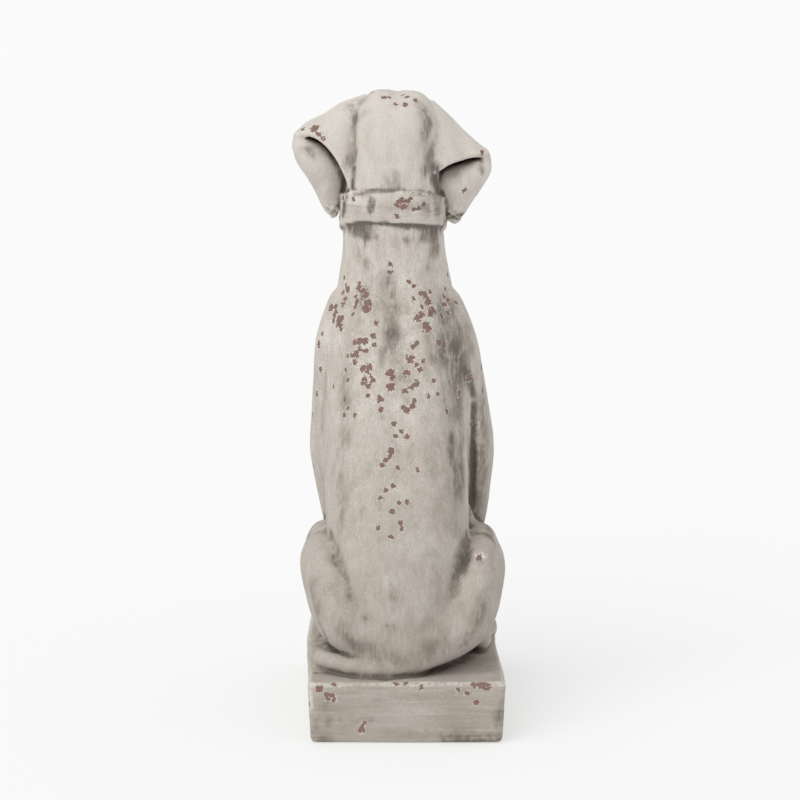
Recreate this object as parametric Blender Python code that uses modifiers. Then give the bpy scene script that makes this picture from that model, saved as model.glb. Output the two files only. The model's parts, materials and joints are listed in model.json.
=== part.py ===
"""A garden statue of a sitting hound with a collar, cast in one piece with its plinth.

The dog faces -Y, +Z is up and +X is the dog's left. The origin is the middle of the
plinth's underside. The figure is drawn on a sculptor's canon: its height is divided
into a hundred parts, and every landmark of the body is written in those parts as
(across to the dog's left, forward, up from the plinth's top).
"""

import math

import bmesh
import bpy
import numpy as np
from mathutils import Matrix, Vector
from mathutils.bvhtree import BVHTree

# Sizes of the real statue, in metres
FIGURE_HEIGHT = 0.62
PLINTH_HEIGHT = 0.068
PLINTH_SIDE_MARGIN = 0.0038
PLINTH_END_MARGIN = 0.015
PLINTH_EDGE_ROUND = 0.0056
PLINTH_WAVE = 0.0016
PLINTH_SKEW = 0.005
PLINTH_TUCK = 0.03
COLLAR_HEIGHT = 0.034
COLLAR_PROUD = 0.0040
EAR_THICKNESS = 0.007
TAIL_THICKNESS = 0.021

# The canon, and the ground that the figure covers between its outermost feet, its
# foretoes and its rump, in parts. The plinth follows it, with its margins.
PART = FIGURE_HEIGHT / 100
STANCE_WIDTH = 33.2
STANCE_DEPTH = 46.8
PLINTH_WIDTH = STANCE_WIDTH * PART + 2 * PLINTH_SIDE_MARGIN
PLINTH_DEPTH = STANCE_DEPTH * PART + 2 * PLINTH_END_MARGIN

# How finely the figure is modelled: voxel sizes in metres, then counts
BODY_GRAIN = 0.004
MODELLING_GRAIN = 0.0026
BODY_SOFTENING = 16
HEAD_SOFTENING = 8
JOIN_SOFTENING = 4
FIGURE_TRIANGLES = 8300
RING_SIDES = 40
MASS_SIDES = 24
EAR_GRID = 14
COLLAR_SIDES = 44
PLINTH_CUTS = (3, 5)
SHARP_ANGLE = 40.0

# How the pose departs from a straight one, in parts and degrees
LEAN_AT_HEAD = 2.3
LEAN_TOP = 80.0
HEAD_ROLL = 2.6
HEAD_TURN_FROM = 74.0
HEAD_TURN_TO = 84.0
RIGHT_ARM_SPREAD = 1.0
RIGHT_ARM_FORWARD = 2.6
RIGHT_HAUNCH_HEIGHT = 0.98
RIGHT_FOOT_BACK = 4.4
LEFT_FOOT_INWARD = 1.2
COLLAR_AT = (0.0, 4.0, 78.2)
COLLAR_TILT = 14.0

STONE = (0.53, 0.50, 0.45, 1.0)


def place(x, forward, up):
    """A landmark of the figure, given in parts, as a point in metres."""
    return Vector((x * PART, -forward * PART, up * PART + PLINTH_HEIGHT))


def between(rows, t):
    """A smooth curve through every row of numbers, read at t from 0 to the last row."""
    i = min(int(t), len(rows) - 2)
    t -= i
    before, start, end = rows[max(i - 1, 0)], rows[i], rows[i + 1]
    after = rows[min(i + 2, len(rows) - 1)]
    return [
        0.5 * (2 * b + (c - a) * t + (2 * a - 5 * b + 4 * c - d) * t * t
               + (3 * b - a - 3 * c + d) * t * t * t)
        for a, b, c, d in zip(before, start, end, after)
    ]


def ring(bm, centre, across, deep, squareness):
    """One closed section of a form: a circle stretched to its two half axes."""
    made = bmesh.ops.create_circle(bm, segments=RING_SIDES, radius=1.0)
    power = 2.0 / squareness
    for vert in made["verts"]:
        c, s = vert.co.x, vert.co.y
        c = math.copysign(abs(c) ** power, c)
        s = math.copysign(abs(s) ** power, s)
        vert.co = centre + across * c + deep * s
    return made["verts"]


def edges_of(verts):
    """The edges that join the points of one section."""
    inside = set(verts)
    return [e for e in {e for v in verts for e in v.link_edges} if set(e.verts) <= inside]


def skin(bm, sections):
    """Bridges a row of sections into one closed form."""
    loops = [edges_of(verts) for verts in sections]
    for lower, upper in zip(loops, loops[1:]):
        bmesh.ops.bridge_loops(bm, edges=lower + upper)
    for loop in (loops[0], loops[-1]):
        bmesh.ops.holes_fill(bm, edges=loop, sides=0)


def limb(bm, stations, steps=4, squareness=2.0, level=False):
    """A limb or muscle through stations (x, forward, up, half width, half depth), in parts.

    Its ends are rounded. A level form keeps its sections horizontal, as a torso does."""
    last = (len(stations) - 1) * steps
    dense = [between(stations, i / steps) for i in range(last + 1)]
    centres = [place(*row[:3]) for row in dense]
    sections = []
    for i, row in enumerate(dense):
        run = (centres[min(i + 1, last)] - centres[max(i - 1, 0)]).normalized()
        if level:
            run = Vector((0, 0, math.copysign(1, run.z)))
        across = Vector((1, 0, 0)) - run * run.x
        across.normalize()
        deep = run.cross(across)
        wide, thick = max(row[3], 0.05) * PART, max(row[4], 0.05) * PART
        spread = [(0.0, 1.0)]
        if i in (0, last):
            outward = -1 if i == 0 else 1
            cap = [(math.sin(math.radians(a)), math.cos(math.radians(a))) for a in (0, 35, 62, 82)]
            spread = [(outward * s * min(wide, thick), c) for s, c in cap]
            if i == 0:
                spread.reverse()
        for shift, size in spread:
            centre = centres[i] + run * shift
            sections.append(ring(bm, centre, across * wide * size, deep * thick * size, squareness))
    skin(bm, sections)


def mass(bm, centre, half, pitch=0.0, yaw=0.0):
    """An egg-shaped mass: centre and half sizes (across, forward, up) in parts, turned in degrees."""
    turn = Matrix.Rotation(math.radians(yaw), 4, "Z")
    turn @= Matrix.Rotation(math.radians(pitch), 4, "X")
    size = Matrix.Diagonal((half[0] * PART, half[1] * PART, half[2] * PART, 1.0))
    bmesh.ops.create_uvsphere(
        bm, u_segments=MASS_SIDES, v_segments=MASS_SIDES * 2 // 3, radius=1.0,
        matrix=Matrix.Translation(place(*centre)) @ turn @ size,
    )


# Level sections as (up, back, front, half width, how far the middle lies to the left).
# The seat is the bowl in which the rump and the haunches join. The ear pads are the thick
# middles of the hanging flaps.
TRUNK = [
    (0.0, -17.5, -8.0, 4.2, 0.0), (2.0, -20.6, -5.0, 7.0, 0.0), (5.0, -22.6, -2.0, 9.2, 0.0),
    (9.0, -23.8, 1.0, 10.8, 0.2), (13.0, -23.8, 3.0, 11.9, 0.4), (18.0, -22.8, 5.0, 12.5, 0.6),
    (24.0, -20.9, 8.0, 12.7, 0.7), (31.0, -18.5, 11.6, 12.8, 0.7), (38.0, -16.1, 14.4, 12.8, 0.6),
    (46.0, -13.4, 16.6, 12.6, 0.4), (54.0, -10.9, 17.7, 12.2, 0.1), (60.0, -9.0, 17.0, 11.2, 0.0),
    (66.0, -7.4, 15.2, 10.1, 0.0), (72.0, -6.2, 13.4, 9.1, 0.0), (79.0, -5.4, 12.4, 8.9, 0.0),
    (85.0, -5.4, 11.8, 8.1, 0.0), (89.0, -5.4, 10.0, 7.6, 0.0), (92.2, -5.2, 7.8, 7.0, 0.0),
]
SEAT = [
    (0.3, -22.4, -8.0, 3.4, 0.0), (1.4, -23.3, -5.0, 7.0, 0.0), (2.7, -23.7, -3.0, 10.8, 0.0),
    (4.6, -23.8, -1.0, 14.0, 0.0), (7.4, -23.5, 1.0, 16.0, 0.0), (10.8, -22.6, 3.0, 16.7, 0.0),
    (14.4, -20.8, 3.0, 15.6, 0.0), (18.5, -17.0, 2.0, 12.6, 0.2),
]
LEFT_HAUNCH = [
    (3.2, -19.2, 1.5, 2.2, 8.8), (4.6, -21.2, 3.4, 4.2, 9.4), (6.4, -22.2, 5.2, 5.5, 10.0),
    (9.0, -22.7, 7.0, 6.3, 10.4), (12.0, -22.3, 8.6, 6.7, 10.8), (15.2, -20.9, 9.6, 6.9, 11.3),
    (17.6, -19.0, 9.4, 5.9, 12.4), (19.5, -16.8, 8.8, 3.5, 13.8),
]

LEFT_EAR_PAD = [
    (90.2, 3.0, 5.6, 0.9, 16.9), (88.8, 2.0, 7.0, 2.7, 15.0), (86.4, 1.4, 7.4, 3.5, 13.4),
    (84.0, 1.2, 7.6, 3.2, 12.0), (81.6, 1.6, 7.6, 2.4, 11.3), (79.2, 2.6, 7.2, 1.6, 10.9),
    (77.8, 3.6, 6.4, 0.8, 10.7),
]
RIGHT_EAR_PAD = [
    (88.4, 2.8, 5.4, 1.1, 15.7), (86.6, 1.9, 7.0, 2.6, 14.0), (84.0, 1.4, 7.6, 3.3, 12.2),
    (81.1, 1.6, 7.6, 2.8, 11.7), (78.5, 2.4, 7.2, 1.8, 11.2), (77.5, 3.2, 6.6, 1.2, 11.0),
]


def stacked(bm, profile, side=1, squareness=2.0):
    """A form made of a stack of level sections."""
    stations = [
        (side * to_left, (back + front) / 2, up, half, (front - back) / 2)
        for up, back, front, half, to_left in profile
    ]
    limb(bm, stations, steps=3, squareness=squareness, level=True)


def trunk(bm):
    """Rump, belly, rib cage and neck, and the seat."""
    stacked(bm, TRUNK, squareness=2.25)
    stacked(bm, SEAT, squareness=2.3)


def shoulder_and_arm(bm, side):
    """The muscle of the shoulder, and the foreleg from the triceps down to the paw."""
    out = RIGHT_ARM_SPREAD if side < 0 else 0.0
    on = RIGHT_ARM_FORWARD if side < 0 else 0.0
    mass(bm, (side * 7.4, 8.4, 57.0), (4.8, 6.2, 8.4), pitch=20)
    limb(bm, [
        (side * 8.2, 1.0, 61.5, 4.1, 6.0),
        (side * 9.6, 2.6, 55.0, 4.9, 7.4),
        (side * (10.2 + out / 2), 3.4 + on * 0.4, 47.5, 5.0, 7.2),
        (side * (11.0 + out * 0.8), 3.4 + on * 0.8, 41.0, 4.8, 6.0),
        (side * (11.8 + out), 4.2 + on, 35.5, 4.4, 4.9),
        (side * (11.5 + out), 6.0 + on * 0.8, 29.0, 4.0, 4.3),
        (side * (10.8 + out), 8.2 + on * 0.4, 22.0, 3.6, 3.8),
        (side * 10.3, 10.4, 15.0, 3.2, 3.3),
        (side * 9.9, 11.9, 9.5, 3.4, 3.4),
        (side * 9.8, 13.6, 4.5, 3.4, 3.2),
    ], steps=3)


def hind_leg(bm, side):
    """Haunch and flank, then the shank over the long foot."""
    tall = RIGHT_HAUNCH_HEIGHT if side < 0 else 1.0
    heel = RIGHT_FOOT_BACK if side < 0 else 0.0
    inward = LEFT_FOOT_INWARD if side > 0 else 0.0
    stacked(bm, [(row[0] * tall, *row[1:]) for row in LEFT_HAUNCH], side, squareness=2.3)
    mass(bm, (side * 9.9, 2.8, 21.5), (3.3, 4.6, 5.6))
    mass(bm, (side * 7.4, -12.0, 2.2), (5.6, 8.6, 3.4))
    limb(bm, [
        (side * (13.2 - inward), 4.0, 11.0, 3.2, 4.4),
        (side * (13.0 - inward), -2.0, 7.6, 3.2, 4.2),
        (side * (12.4 - inward), -8.0, 5.0, 2.6, 3.4),
    ])
    limb(bm, [
        (side * (13.4 - inward), -heel, 2.2, 2.3, 2.2),
        (side * (13.5 - inward), 2.0 - heel / 2, 2.0, 2.5, 2.1),
        (side * (13.6 - inward), 4.0, 2.0, 2.6, 2.0),
    ])


def paw(bm, x, forward, width, length, height):
    """A paw flat on the plinth: a heel pad and four knuckled toes fanned a little."""
    mass(bm, (x, forward - 0.12 * length, 0.44 * height), (0.46 * width, 0.38 * length, 0.54 * height))
    for toe in (-1.5, -0.5, 0.5, 1.5):
        inner = abs(toe) < 1
        reach = (0.25 if inner else 0.16) * length
        mass(bm, (x + toe * width * 0.25, forward + reach, 0.32 * height),
             (0.15 * width, 0.26 * length, 0.40 * height), yaw=-toe * 6)


def paws(bm):
    """The four paws."""
    for side in (1, -1):
        paw(bm, side * 9.9, 16.4, width=8.0, length=13.0, height=6.4)
        out = 13.6 - LEFT_FOOT_INWARD if side > 0 else 13.6
        paw(bm, side * out, 5.6, width=6.0, length=11.0, height=4.6)


def tail(bm):
    """The tail leaves the rump, lies along the rear edge and curls forward on the left."""
    path = [
        # across, forward, and the thickness there as a share of the full one
        (-1.5, -20.6, 1.25), (4.0, -21.9, 1.10), (9.2, -20.7, 1.02), (13.0, -17.6, 0.96),
        (15.5, -13.2, 0.90), (15.9, -8.0, 0.84), (15.8, -2.6, 0.74), (15.3, 2.4, 0.52),
    ]
    stations = []
    for x, forward, share in path:
        half = TAIL_THICKNESS / PART / 2 * share
        stations.append((x, forward, half * 0.97, half, half))
    limb(bm, stations)
    # a low bed ties it to the haunch
    mass(bm, (11.6, -9.5, 1.0), (5.2, 10.0, 2.6))


def head(bm):
    """Cranium, muzzle and bridge of the nose as lofts, and the masses laid on them."""
    lofts = [
        # forward, top, bottom, half width: the cranium, then the muzzle, then its bridge
        [(2.0, 99.7, 82.0, 7.7), (5.0, 100.1, 81.2, 7.9), (7.6, 98.9, 81.2, 7.6)],
        [(7.0, 91.8, 81.6, 5.8), (12.0, 92.2, 81.6, 5.4), (16.0, 92.2, 81.8, 5.0), (19.6, 92.0, 82.8, 4.5)],
        [(9.0, 95.6, 86.0, 3.8), (14.0, 94.3, 86.6, 3.6), (18.0, 93.7, 86.6, 3.4), (21.0, 93.1, 87.4, 3.1)],
    ]
    for sections in lofts:
        limb(bm, [
            (0.0, f, (top + bottom) / 2, wide, (top - bottom) / 2) for f, top, bottom, wide in sections
        ], squareness=2.9)
    mass(bm, (0.0, 22.9, 91.0), (2.8, 2.3, 2.2))
    mass(bm, (0.0, 15.4, 82.6), (3.6, 5.6, 1.9))
    for side in (1, -1):
        mass(bm, (side * 2.6, 3.4, 96.5), (3.8, 5.6, 3.7))
        mass(bm, (side * 3.9, 10.4, 95.6), (2.8, 2.8, 1.9))
        mass(bm, (side * 5.8, 8.0, 87.0), (2.8, 5.2, 5.2))
        mass(bm, (side * 5.6, 9.2, 91.0), (1.9, 4.2, 1.7))
        mass(bm, (side * 2.9, 17.8, 86.2), (2.7, 6.4, 4.4))


def ear_pads(bm):
    """The thick middle of each hanging flap, from the ear's corner down to its tip."""
    stacked(bm, LEFT_EAR_PAD)
    stacked(bm, RIGHT_EAR_PAD, side=-1)


def eyes(bm):
    """The eyeballs, which show a little between the lids."""
    for side in (1, -1):
        mass(bm, (side * 4.3, 12.3, 92.9), (1.7, 1.7, 1.6))


# An ear's rows run from the skull out to its corner. In a row, the points run from the
# rear rim over the fold to the lower edge of the hanging flap.
LEFT_EAR = [
    [(7.6, -1.9, 82.4), (6.6, 0.0, 92.0), (5.2, 4.4, 98.7), (7.4, 9.4, 94.0), (7.2, 10.6, 86.0)],
    [(9.9, -1.4, 87.2), (9.8, 0.4, 93.2), (9.4, 4.7, 97.1), (10.8, 10.8, 89.6), (8.9, 10.6, 79.3)],
    [(12.7, -0.6, 90.6), (12.7, 1.3, 92.8), (12.6, 4.9, 94.7), (13.8, 9.4, 87.0), (11.1, 8.4, 76.9)],
    [(15.2, 0.8, 91.6), (15.3, 2.2, 92.7), (15.5, 4.8, 93.0), (16.1, 7.2, 87.6), (13.3, 6.0, 81.2)],
    [(17.4, 2.2, 91.0), (17.6, 3.0, 91.2), (18.0, 4.0, 90.8), (18.1, 4.6, 89.4), (17.0, 3.8, 87.2)],
]
RIGHT_EAR = [
    [(6.8, -1.8, 85.8), (6.6, 0.0, 92.0), (5.8, 4.4, 98.4), (7.4, 9.4, 93.4), (7.2, 10.6, 86.0)],
    [(9.4, -1.4, 87.7), (9.0, 0.4, 92.3), (8.5, 4.7, 96.1), (10.4, 10.6, 89.2), (8.6, 10.4, 79.6)],
    [(11.7, -0.6, 88.7), (11.5, 1.3, 91.0), (11.5, 4.9, 93.2), (13.5, 9.4, 86.6), (11.1, 8.4, 76.9)],
    [(14.0, 0.8, 89.3), (14.0, 2.2, 90.4), (14.1, 4.8, 91.0), (15.5, 7.2, 86.8), (14.0, 6.2, 80.5)],
    [(16.0, 2.2, 89.3), (16.3, 3.0, 89.6), (16.5, 4.0, 89.4), (16.8, 4.6, 88.2), (16.4, 3.8, 85.6)],
]


def ear(name, side, rows):
    """One ear: a sheet drawn smoothly through its landmarks, then given its thickness."""
    bm = bmesh.new()
    made = bmesh.ops.create_grid(bm, x_segments=EAR_GRID, y_segments=EAR_GRID, size=1.0)
    for vert in made["verts"]:
        along = (vert.co.x + 1) / 2 * (len(rows) - 1)
        over = (vert.co.y + 1) / 2 * (len(rows[0]) - 1)
        across, forward, up = between([between(row, over) for row in rows], along)
        vert.co = place(side * across, forward, up)
    bmesh.ops.recalc_face_normals(bm, faces=bm.faces[:])
    obj = object_from(bm, name)
    thicken = obj.modifiers.new("thickness", "SOLIDIFY")
    thicken.thickness = EAR_THICKNESS
    thicken.offset = 0.0
    rounded = obj.modifiers.new("rounded rim", "SUBSURF")
    rounded.levels = rounded.render_levels = 1
    return obj


# Strokes cut grooves, or raise ridges where their depth is below zero. Each one is its
# path, its radius and its depth, in parts.
BODY_STROKES = [
    # the furrow of the spine, and the shoulder blades that rise on either side of it
    ([(0.0, -7.5, 67.0), (0.0, -10.5, 56.0), (0.0, -13.5, 46.0), (0.0, -17.5, 34.0)], 4.4, 0.7),
    ([(5.4, -6.8, 63.0), (6.6, -8.6, 57.0), (7.4, -10.0, 51.0)], 4.4, -0.6),
    ([(-5.4, -6.8, 63.0), (-6.6, -8.6, 57.0), (-7.4, -10.0, 51.0)], 4.4, -0.6),
    # the right arm stands clear of the ribs, the left one nearly touches them
    ([(-9.4, -8.0, 54.0), (-11.2, -7.4, 50.0), (-12.4, -6.0, 46.0)], 3.4, 0.9),
    ([(-12.8, -3.6, 44.0), (-12.8, -2.6, 38.0), (-12.6, -2.0, 31.0), (-12.4, -1.6, 24.0)], 2.4, 1.9),
    ([(11.8, -7.0, 53.0), (13.0, -6.0, 46.0), (13.5, -4.0, 38.0), (13.5, -3.0, 30.0)], 1.8, 0.8),
    # the creases between haunches and rump
    ([(13.2, -8.0, 22.0), (11.6, -14.0, 18.5), (10.2, -18.5, 14.5), (8.8, -21.5, 10.0)], 2.2, 0.7),
    ([(-12.6, -8.0, 22.0), (-10.6, -15.0, 18.0), (-9.6, -19.5, 14.0), (-8.6, -21.5, 10.0)], 2.2, 0.8),
]
HEAD_STROKES = [
    # the furrow over the skull, running into the stop between the eyes
    ([(0.0, -3.5, 96.5), (0.0, 4.0, 99.4), (0.0, 11.0, 97.4), (0.0, 14.5, 94.6)], 2.0, 0.4),
    # the eye sockets under the brows
    ([(3.8, 13.4, 92.8), (5.6, 12.0, 92.4)], 1.9, 0.8),
    ([(-3.8, 13.4, 92.8), (-5.6, 12.0, 92.4)], 1.9, 0.8),
    # the lip line, back to the corner of the mouth
    ([(5.9, 11.0, 85.2), (5.8, 14.5, 84.0), (5.2, 18.0, 83.8), (3.6, 21.6, 84.6)], 1.2, 0.5),
    ([(-5.9, 11.0, 85.2), (-5.8, 14.5, 84.0), (-5.2, 18.0, 83.8), (-3.6, 21.6, 84.6)], 1.2, 0.5),
]


def carve(obj, strokes):
    """Moves the skin in or out along strokes, most at a stroke's middle line."""
    mesh = obj.data
    count = len(mesh.vertices)
    points = np.empty(count * 3, dtype=np.float32)
    normals = np.empty(count * 3, dtype=np.float32)
    mesh.vertices.foreach_get("co", points)
    mesh.vertices.foreach_get("normal", normals)
    points = points.reshape(count, 3)
    moved = np.zeros(count, dtype=np.float64)
    for path, radius, depth in strokes:
        line = [place(*between(path, i / 6)) for i in range((len(path) - 1) * 6 + 1)]
        nearest = np.full(count, 1.0)
        for spot in line:
            gap = points - np.array(spot, dtype=np.float64)
            away = gap[:, 0] * gap[:, 0] + gap[:, 1] * gap[:, 1] + gap[:, 2] * gap[:, 2]
            nearest = np.minimum(nearest, away / (radius * PART) ** 2)
        share = 1.0 - nearest
        moved += share * share * depth * PART
    points = points - normals.reshape(count, 3) * moved[:, None]
    mesh.vertices.foreach_set("co", points.astype(np.float32).ravel())
    mesh.update()


def object_from(bm, name):
    """Links a finished bmesh as an object of its own."""
    mesh = bpy.data.meshes.new(name)
    bm.to_mesh(mesh)
    bm.free()
    obj = bpy.data.objects.new(name, mesh)
    bpy.context.scene.collection.objects.link(obj)
    return obj


def evaluated(obj, name):
    """A new plain mesh object with the modifiers of obj worked in; obj is removed."""
    bpy.context.view_layer.update()
    graph = bpy.context.evaluated_depsgraph_get()
    mesh = bpy.data.meshes.new_from_object(obj.evaluated_get(graph))
    mesh.transform(obj.matrix_world)
    bpy.data.objects.remove(obj)
    fresh = bpy.data.objects.new(name, mesh)
    bpy.context.scene.collection.objects.link(fresh)
    return fresh


def joined(objects, name):
    """Several mesh objects as the shells of one."""
    bm = bmesh.new()
    for obj in objects:
        bm.from_mesh(obj.data)
        bpy.data.objects.remove(obj)
    return object_from(bm, name)


def outer_shell(obj):
    """Fills any hollow that is closed off inside obj: only its largest shell stays."""
    bm = bmesh.new()
    bm.from_mesh(obj.data)
    unvisited = set(bm.verts)
    shells = []
    while unvisited:
        rim = {unvisited.pop()}
        shell = set(rim)
        while rim:
            rim = {e.other_vert(v) for v in rim for e in v.link_edges} - shell
            shell |= rim
        unvisited -= shell
        shells.append(shell)
    for shell in sorted(shells, key=len)[:-1]:
        bmesh.ops.delete(bm, geom=list(shell), context="VERTS")
    bm.to_mesh(obj.data)
    bm.free()
    return obj


def fused(obj, name, grain, smoothing):
    """Overlapping shells modelled into one skin, with the joins between them softened."""
    skin_over = obj.modifiers.new("one skin", "REMESH")
    skin_over.mode = "VOXEL"
    skin_over.voxel_size = grain
    soften = obj.modifiers.new("soften", "SMOOTH")
    soften.factor = 0.5
    soften.iterations = smoothing
    return evaluated(obj, name)


def posed(point):
    """A point of the straight figure, in metres, after the body's lean and the head's roll."""
    pivot = place(0.0, 4.0, (HEAD_TURN_FROM + HEAD_TURN_TO) / 2)
    up = (point.z - PLINTH_HEIGHT) / PART
    share = min(max((up - HEAD_TURN_FROM) / (HEAD_TURN_TO - HEAD_TURN_FROM), 0.0), 1.0)
    turned = Matrix.Rotation(math.radians(-HEAD_ROLL) * share, 3, "Y") @ (point - pivot) + pivot
    turned.x += LEAN_AT_HEAD * PART * min(max(up / LEAN_TOP, 0.0), 1.0)
    return turned


def dog_body():
    """Trunk and legs as one soft skin, still upright and straight, with a bare neck."""
    body = bmesh.new()
    trunk(body)
    for side in (1, -1):
        shoulder_and_arm(body, side)
        hind_leg(body, side)
    soft_body = fused(object_from(body, "body"), "soft body", BODY_GRAIN, BODY_SOFTENING)
    carve(soft_body, BODY_STROKES)
    return soft_body


def dog_figure(soft_body):
    """The whole dog as one fine skin; the body is used up."""
    skull = bmesh.new()
    head(skull)
    soft_head = fused(object_from(skull, "head"), "soft head", MODELLING_GRAIN, HEAD_SOFTENING)
    carve(soft_head, HEAD_STROKES)
    crisp = bmesh.new()
    paws(crisp)
    tail(crisp)
    ear_pads(crisp)
    eyes(crisp)
    shells = [soft_body, soft_head, object_from(crisp, "crisp forms")]
    for name, side, rows in (("left ear", 1, LEFT_EAR), ("right ear", -1, RIGHT_EAR)):
        shells.append(evaluated(ear(name, side, rows), name))
    return outer_shell(fused(joined(shells, "shells"), "figure", MODELLING_GRAIN, JOIN_SOFTENING))


def collar(neck):
    """A flat band that follows the neck all round, its inner side sunk in the neck."""
    tree = BVHTree.FromPolygons(
        [v.co for v in neck.data.vertices], [p.vertices for p in neck.data.polygons])
    tilt = Matrix.Rotation(math.radians(COLLAR_TILT), 3, "X")
    half = COLLAR_HEIGHT / 2
    soft = COLLAR_PROUD * 0.35
    # up the band and out from the neck's skin: outer face with softened edges, then inside
    levels = [(-half, COLLAR_PROUD - soft), (-half + soft, COLLAR_PROUD), (half - soft, COLLAR_PROUD),
              (half, COLLAR_PROUD - soft), (half, -2 * COLLAR_PROUD), (-half, -2 * COLLAR_PROUD)]
    bm = bmesh.new()
    loops = []
    for height, out in levels:
        made = bmesh.ops.create_circle(bm, segments=COLLAR_SIDES, radius=1.0)
        for vert in made["verts"]:
            ray = tilt @ Vector((vert.co.x, vert.co.y, 0.0))
            start = place(*COLLAR_AT) + tilt @ Vector((0.0, 0.0, height))
            hit = tree.ray_cast(start, ray)[3]
            vert.co = start + ray * (hit + out)
        loops.append(edges_of(made["verts"]))
    for lower, upper in zip(loops, loops[1:] + loops[:1]):
        bmesh.ops.bridge_loops(bm, edges=lower + upper)
    bmesh.ops.recalc_face_normals(bm, faces=bm.faces[:])
    return object_from(bm, "collar")


def plinth():
    """The block under the dog: a box with worn, slightly wavy sides and a flat underside."""
    bm = bmesh.new()
    size = Matrix.Diagonal((PLINTH_WIDTH, PLINTH_DEPTH, PLINTH_HEIGHT, 1.0))
    lift = Matrix.Translation((0.0, 0.0, PLINTH_HEIGHT / 2))
    bmesh.ops.create_cube(bm, size=1.0, matrix=lift @ size)
    bmesh.ops.bevel(
        bm, geom=bm.edges[:], offset=PLINTH_EDGE_ROUND, offset_type="OFFSET",
        segments=2, profile=0.5, affect="EDGES", material=-1, clamp_overlap=True,
    )
    sides = ((Vector((1, 0, 0)), PLINTH_WIDTH), (Vector((0, 1, 0)), PLINTH_DEPTH))
    for (normal, full), count in zip(sides, PLINTH_CUTS):
        length = full - 3 * PLINTH_EDGE_ROUND
        for i in range(count):
            cut = normal * length * ((i + 0.5) / count - 0.5)
            bmesh.ops.bisect_plane(bm, geom=bm.verts[:] + bm.edges[:] + bm.faces[:],
                                   plane_co=cut, plane_no=normal)
    for vert in bm.verts:
        x, y = vert.co.x / PLINTH_WIDTH, vert.co.y / PLINTH_DEPTH
        low = max(0.0, 1.0 - vert.co.z / PLINTH_HEIGHT)
        vert.co.x *= 1.0 - PLINTH_TUCK * low * low
        vert.co.x += PLINTH_WAVE * math.sin(7.0 * y + 2.0) + PLINTH_SKEW * (0.5 - y)
        vert.co.y += PLINTH_WAVE * math.sin(6.0 * x + 2.0) * 0.5
        if vert.co.z > PLINTH_HEIGHT / 2:
            vert.co.z += PLINTH_WAVE * math.sin(5.5 * y + 4.0 * x) * 0.4
    return object_from(bm, "plinth")


def united(base, added):
    """The union of two closed meshes; the added one is used up."""
    union = base.modifiers.new("union", "BOOLEAN")
    union.operation = "UNION"
    union.solver = "EXACT"
    union.object = added
    whole = evaluated(base, base.name)
    bpy.data.objects.remove(added)
    return whole


def coarsened(obj, triangles):
    """The same form with about so many triangles, more where it bends most."""
    obj.data.calc_loop_triangles()
    fewer = obj.modifiers.new("coarser", "DECIMATE")
    fewer.ratio = min(1.0, triangles / len(obj.data.loop_triangles))
    return evaluated(obj, obj.name)


def stone():
    """Weathered whitewash over fired clay: pale warm grey and quite rough."""
    material = bpy.data.materials.new("weathered_whitewash")
    material.use_nodes = True
    shader = material.node_tree.nodes["Principled BSDF"]
    shader.inputs["Base Color"].default_value = STONE
    shader.inputs["Roughness"].default_value = 0.85
    shader.inputs["Metallic"].default_value = 0.0
    return material


def clear_scene():
    """Removes whatever the file came with."""
    for obj in list(bpy.data.objects):
        bpy.data.objects.remove(obj)


def main():
    """The casting: the dog, its collar and its plinth as one solid."""
    clear_scene()
    body = dog_body()
    band = collar(body)
    statue = coarsened(dog_figure(body), FIGURE_TRIANGLES)
    for obj in (statue, band):
        for vert in obj.data.vertices:
            vert.co = posed(vert.co)
    statue = united(statue, band)
    statue = united(statue, plinth())
    statue.name = "dog_statue"
    statue.data.name = "dog_statue"
    statue.data.materials.clear()
    statue.data.materials.append(stone())
    statue.data.shade_smooth()
    statue.data.set_sharp_from_angle(angle=math.radians(SHARP_ANGLE))
    home = bpy.data.collections.new("outdoor_dog_statue")
    bpy.context.scene.collection.children.link(home)
    for users in statue.users_collection:
        users.objects.unlink(statue)
    home.objects.link(statue)


main()
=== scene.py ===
# %% [markdown]
# # A weathered garden hound
#
# This file dresses the plain solid of a garden statue: a tall hound that sits on a block,
# one hollow casting under a thin coat of whitewash, streaked, soiled and flaked by weather.
#
# It is modelled again here, from the same landmarks, because a finer skin can hold what the
# solid leaves out: toes and claws, lids and nostrils, worn edges and crumbled ear tips.

# %% Load the fixed frame
import json
import math

import bmesh
import bpy
import numpy as np
from mathutils import Matrix, Vector, noise
from mathutils.bvhtree import BVHTree

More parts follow.
